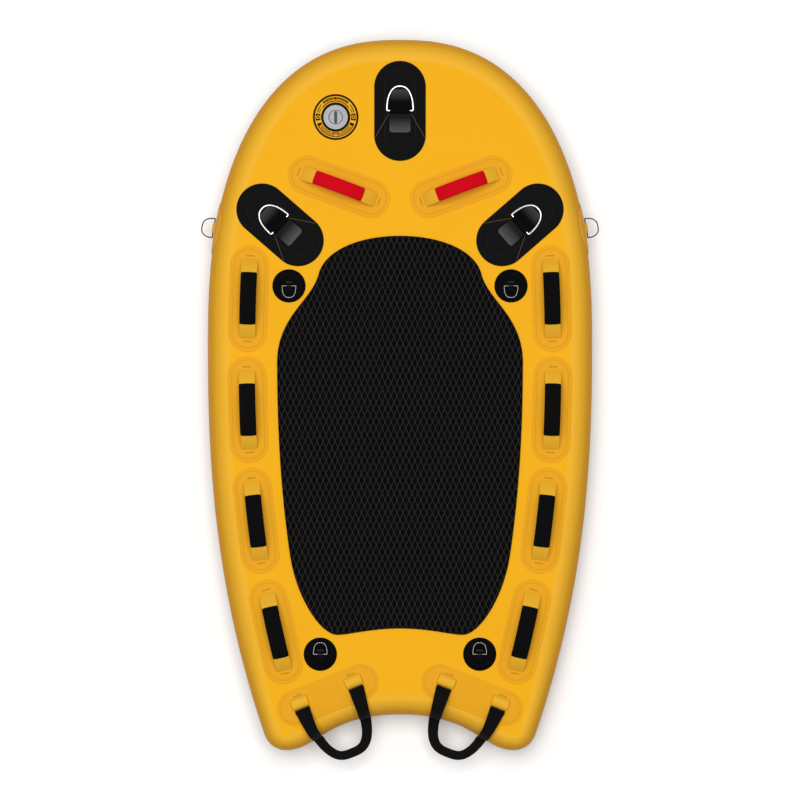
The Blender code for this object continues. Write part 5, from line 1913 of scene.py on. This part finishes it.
@dataclass(frozen=True)
class Valve:
    """The inflation valve: a printed ring on the deck, a black body and a grey twist cap."""

    print_radius: float = 0.0576
    print_gap: float = 0.0002
    print_wall: float = 0.00025
    bore: float = 0.017
    tube: float = 0.022
    depth: float = 0.024
    floor: float = 0.003
    stem_hole: float = 0.0031
    flange: float = 0.034
    flange_low: float = 0.0016
    flange_top: float = 0.0046
    body_round: float = 0.0008
    cap: float = 0.0305
    cap_low: float = 0.0049
    cap_top: float = 0.0099
    cap_round: float = 0.0009
    skirt: float = 0.005
    skirt_in: float = 0.0023
    crown: float = 0.0015
    bar: Stadium = Stadium(0.031, 0.0073)
    bar_height: float = 0.0035
    bar_sunk: float = 0.0006
    scoop_in: float = 0.0095
    scoop_out: float = 0.0160
    scoop_depth: float = 0.0022
    scoop_turn: float = 52.0
    scoop_soft: float = 0.0014
    arrow: tuple[float, float, float, float, float] = (0.0186, 0.0232, 12.0, 48.0, 0.0008)
    arrow_depth: float = 0.0010
    grooves: tuple[float, float, float] = (0.0172, 0.0250, 0.0272)
    groove_depth: float = 0.0004
    groove_reach: float = 0.0006
    soft_turn: float = 5.0
    sides: int = 120
    coil: float = 0.0046
    coil_wire: float = 0.0004
    coil_height: float = 0.0080
    coil_turns: int = 4
    coil_pushed: float = 0.52

    def cap_skin(self) -> Skin:
        """The cap: a polar grid whose height drops in two scoops, one arrow recess and three fine grooves.

        Returns:
            The cap in the valve's frame.
        """
        radius = np.linspace(0.0, self.cap - self.cap_round, 66)
        turn = circle_angles(self.sides)
        r, t = np.meshgrid(radius, turn, indexing="ij")

        def hollow(inner: float, outer: float, middle: float, spread: float, soft: float) -> Array:
            """1 inside an arc and 0 outside, with a smooth side.

            Args:
                inner: The arc's inner radius.
                outer: Its outer radius.
                middle: Its middle's angle in degrees.
                spread: How far it reaches to each side in degrees.
                soft: How wide its sides slope.

            Returns:
                One share a point of the grid.
            """
            off = np.abs((np.degrees(t) - middle + 180) % 360 - 180)
            inside = np.clip(((outer - inner) / 2 - np.abs(r - (inner + outer) / 2)) / soft, 0, 1)
            share = inside * np.clip((spread - off) / self.soft_turn, 0, 1)
            return share**2 * (3 - 2 * share)

        scoop = self.scoop_in, self.scoop_out
        deep = sum(hollow(*scoop, side, self.scoop_turn, self.scoop_soft) for side in (0.0, 180.0))
        height = self.cap_top - self.scoop_depth * deep
        height -= self.arrow_depth * hollow(*self.arrow)
        for groove in self.grooves:
            height -= self.groove_depth * np.clip(1 - np.abs(r - groove) / self.groove_reach, 0, 1)
        top = np.stack([r * np.cos(t), r * np.sin(t), height], axis=-1)
        foot, roof = self.cap_low - self.skirt, self.cap_low + self.crown
        outer, inner = self.bore - GAP, self.bore - self.skirt_in
        rim = rounded([
            (self.cap - self.cap_round, self.cap_top), (self.cap, self.cap_top), (self.cap, self.cap_low),
            (outer, self.cap_low), (outer, foot), (inner, foot), (inner, roof), (0.0, roof),
        ], self.cap_round)[1:]
        across = rim[:, :1, None] * np.stack([np.cos(turn), np.sin(turn)], axis=-1)
        grid = np.concatenate([top, raised(across, rim[:, 1])])
        return Skin().grid(grid, columns_close=True, plan=grid[..., :2])

    def build(self) -> None:
        """Makes the print, the body, the cap with its bar, and the spring."""
        joint = JOINTS["valve_cap_twist"]
        origin, axis = np.array(joint["pos_m"]), unit(np.array(joint["axis"], dtype=float))
        axes = np.stack([ACROSS, np.cross(axis, ACROSS), axis])

        def stand(points: Array) -> Array:
            """Points in the valve's frame as points in the board's frame."""
            return origin + points @ axes

        seat = Seat(float(origin[0]), float(origin[1]), height=0.0001)
        rings = np.linspace(self.tube + self.print_gap, self.print_radius, 18)
        disc = [(r, self.print_wall) for r in rings] + [(r, 0.0) for r in rings[::-1]]
        Piece("valve_print", turned(disc, self.sides).moved(seat.lay), PRINT).place()
        well = rounded([
            (self.bore, 0.0), (self.bore, self.flange_top), (self.flange, self.flange_top),
            (self.flange, self.flange_low), (self.tube, self.flange_low), (self.tube, -self.depth),
            (self.stem_hole, -self.depth), (self.stem_hole, self.floor - self.depth),
            (self.bore, self.floor - self.depth), (self.bore, -0.001),
        ], self.body_round)
        Piece("valve_flange", turned(well).moved(stand), VALVE_BLACK, stands_for=("valve_body",)).place()
        cap = Piece("valve_twist_cap", self.cap_skin().moved(stand), CAP, "valve_cap", ("valve_cap",)).place()
        top, low, half = self.cap_top + self.bar_height, self.cap_top - self.bar_sunk, self.bar.width / 2
        section = rounded([(half, top), (0.0, top), (0.0, low), (half, low)], self.cap_round)
        bar = self.bar.sweep(section).moved(lambda points: stand(points[..., [1, 0, 2]] * (-1, 1, 1)))
        Piece("valve_cap_bar", bar, VALVE_BAR, "valve_cap").place()
        share = np.linspace(0.0, 1.0, 32 * self.coil_turns + 1)
        turn = 2 * np.pi * self.coil_turns * share
        foot = self.floor - self.depth + GAP
        rise = foot + self.coil_wire + (self.coil_height - 2 * self.coil_wire) * share
        coil = stand(np.stack([self.coil * np.cos(turn), self.coil * np.sin(turn), rise], axis=-1))
        wire = tube(coil, self.coil_wire, 8, False, axis)
        spring = Piece("valve_coil", wire, SPRING, stands_for=("valve_spring",)).place()
        tuple(axis)
        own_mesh(spring)
        log.info("valve: print, body, cap and bar at %s", tuple(round(c, 3) for c in cap.bound_box[0]))


# ---- Light, floor and camera


@dataclass(frozen=True)
class Studio:
    """A pale floor under soft light, seen straight from above with the nose up."""

    floor_height: float = -0.014
    floor_reach: float = 12.0
    floor_glow: float = 0.12
    floor_shade: float = 0.35
    floor_white: float = 0.97
    sky: float = 0.27
    sky_in_mirrors: float = 0.55
    key_place: tuple[float, float, float] = (-0.5, 1.2, 11.0)
    key_size: float = 7.0
    key_power: float = 976.0
    view_width: float = 2.018
    distance: float = 10.0
    aim: float = -0.0108

    def world(self) -> None:
        """White for the camera, bright for mirrors, and weaker as light."""
        world = bpy.data.worlds.new("Studio world")
        bpy.context.scene.world = world
        world.use_nodes = True
        graph = Graph(world.node_tree)
        rays = graph.node("ShaderNodeLightPath")
        mirror = graph.math("ADD", rays.outputs["Is Glossy Ray"], rays.outputs["Is Transmission Ray"], clamp=True)
        dim = graph.math("MULTIPLY_ADD", mirror, self.sky_in_mirrors, self.sky)
        back = world.node_tree.nodes["Background"]
        back.inputs["Color"].default_value = (1.0, 1.0, 1.0, 1.0)
        graph.feed(back.inputs["Strength"], graph.math("ADD", dim, rays.outputs["Is Camera Ray"], clamp=True))

    def floor(self) -> None:
        """A wide floor: white for the camera and mirrors, grey for other light, and clear from underneath."""
        mesh = bpy.data.meshes.new("floor")
        reach = self.floor_reach
        corners = [(x * reach, y * reach, self.floor_height) for x, y in ((-1, -1), (1, -1), (1, 1), (-1, 1))]
        mesh.from_pydata(corners, [], [(0, 1, 2, 3)])
        made = bpy.data.objects.new("floor", mesh)
        bpy.context.scene.collection.objects.link(made)
        paint = bpy.data.materials.new("Studio floor")
        paint.use_nodes = True
        graph = Graph(paint.node_tree)
        shader = paint.node_tree.nodes["Principled BSDF"]
        glow = {"Emission Color": (1.0, 1.0, 1.0, 1.0), "Emission Strength": self.floor_glow}
        for word, value in {"Roughness": 0.9, "Specular IOR Level": 0.0, **glow}.items():
            shader.inputs[word].default_value = value
        rays = graph.node("ShaderNodeLightPath")
        seen = graph.math("ADD", rays.outputs["Is Camera Ray"], rays.outputs["Is Glossy Ray"])
        seen = graph.math("ADD", seen, rays.outputs["Is Transmission Ray"], clamp=True)
        shade, pale = (self.floor_shade,) * 3, (self.floor_white,) * 3
        graph.feed(shader.inputs["Base Color"], graph.mix(seen, shade, pale))
        sides = graph.node("ShaderNodeNewGeometry")
        clear = graph.node("ShaderNodeBsdfTransparent")
        either = graph.node("ShaderNodeMixShader")
        ways = (sides.outputs["Backfacing"], shader.outputs[0], clear.outputs[0])
        for socket, way in zip(either.inputs, ways):
            graph.feed(socket, way)
        graph.feed(paint.node_tree.nodes["Material Output"].inputs["Surface"], either.outputs[0])
        made.data.materials.append(paint)

    def light(self, name: str, place: tuple[float, float, float], size: float, power: float) -> None:
        """A square area light that faces the board.

        Args:
            name: The light's name.
            place: Where it hangs.
            size: The length of its sides.
            power: Its power in watts.
        """
        lamp = bpy.data.lights.new(name, "AREA")
        lamp.size, lamp.energy = size, power
        made = bpy.data.objects.new(name, lamp)
        made.location = place
        made.rotation_euler = (-Vector(place)).to_track_quat("-Z", "Y").to_euler()
        bpy.context.scene.collection.objects.link(made)

    def camera(self) -> None:
        """A long lens straight above the board, its up along the nose."""
        lens = bpy.data.cameras.new("camera")
        lens.lens = lens.sensor_width * self.distance / self.view_width
        made = bpy.data.objects.new("camera", lens)
        made.location = (0.0, self.aim, FORM.thickness + self.distance)
        bpy.context.scene.collection.objects.link(made)
        bpy.context.scene.camera = made

    def build(self) -> None:
        """Sets the world, floor, lights and camera."""
        bpy.context.scene.view_settings.view_transform = "Standard"
        self.world()
        self.floor()
        self.light("key light", self.key_place, self.key_size, self.key_power)
        self.camera()
        log.info("studio: world, floor, light and camera")


def paint_nodes() -> None:
    """Gives the CAD pieces that stay their finer finishes."""
    finishes = {"valve_nut": VALVE_BLACK, "valve_gasket": GASKET, "valve_stem": VALVE_WHITE}
    for name, finish in finishes.items():
        node = frame["nodes"][name]
        node.data.materials.clear()
        node.data.materials.append(finish.material())


def main() -> None:
    """Builds every piece in order, then the studio."""
    logging.basicConfig(level=logging.INFO, format="%(message)s")
    Board().build()
    TractionPad().build()
    for hand in Hand:
        GrabHandle(f"red_handle_{hand.word}", Grip.RED).build()
        for row in range(1, 5):
            GrabHandle(f"side_handle_{hand.word}_{row}", Grip.BLACK).build()
        TailHandle(hand).build()
    log.info("handles: two red, eight black, two at the tail")
    for name in ("nose", "left", "right"):
        TowPoint(f"tow_{name}").build()
    for hand in Hand:
        for row in ("front", "rear"):
            node = f"deck_ring_{row}_{hand.word}"
            side = -1 if row == "front" else 1
            RingPatch(node, RingKind.DECK, DECK_PATCH, 0.012, ROUND_PAD, stitch_side=side).build()
        RingPatch(f"hull_ring_{hand.word}", RingKind.HULL, HULL_PATCH, 0.018, HULL_PAD, under=True).build()
        RailRing(hand).build()
    log.info("rings: three tow points, four on the deck, two on the hull, two on the rail")
    Valve().build()
    paint_nodes()
    Studio().build()


if __name__ == "__main__":
    main()
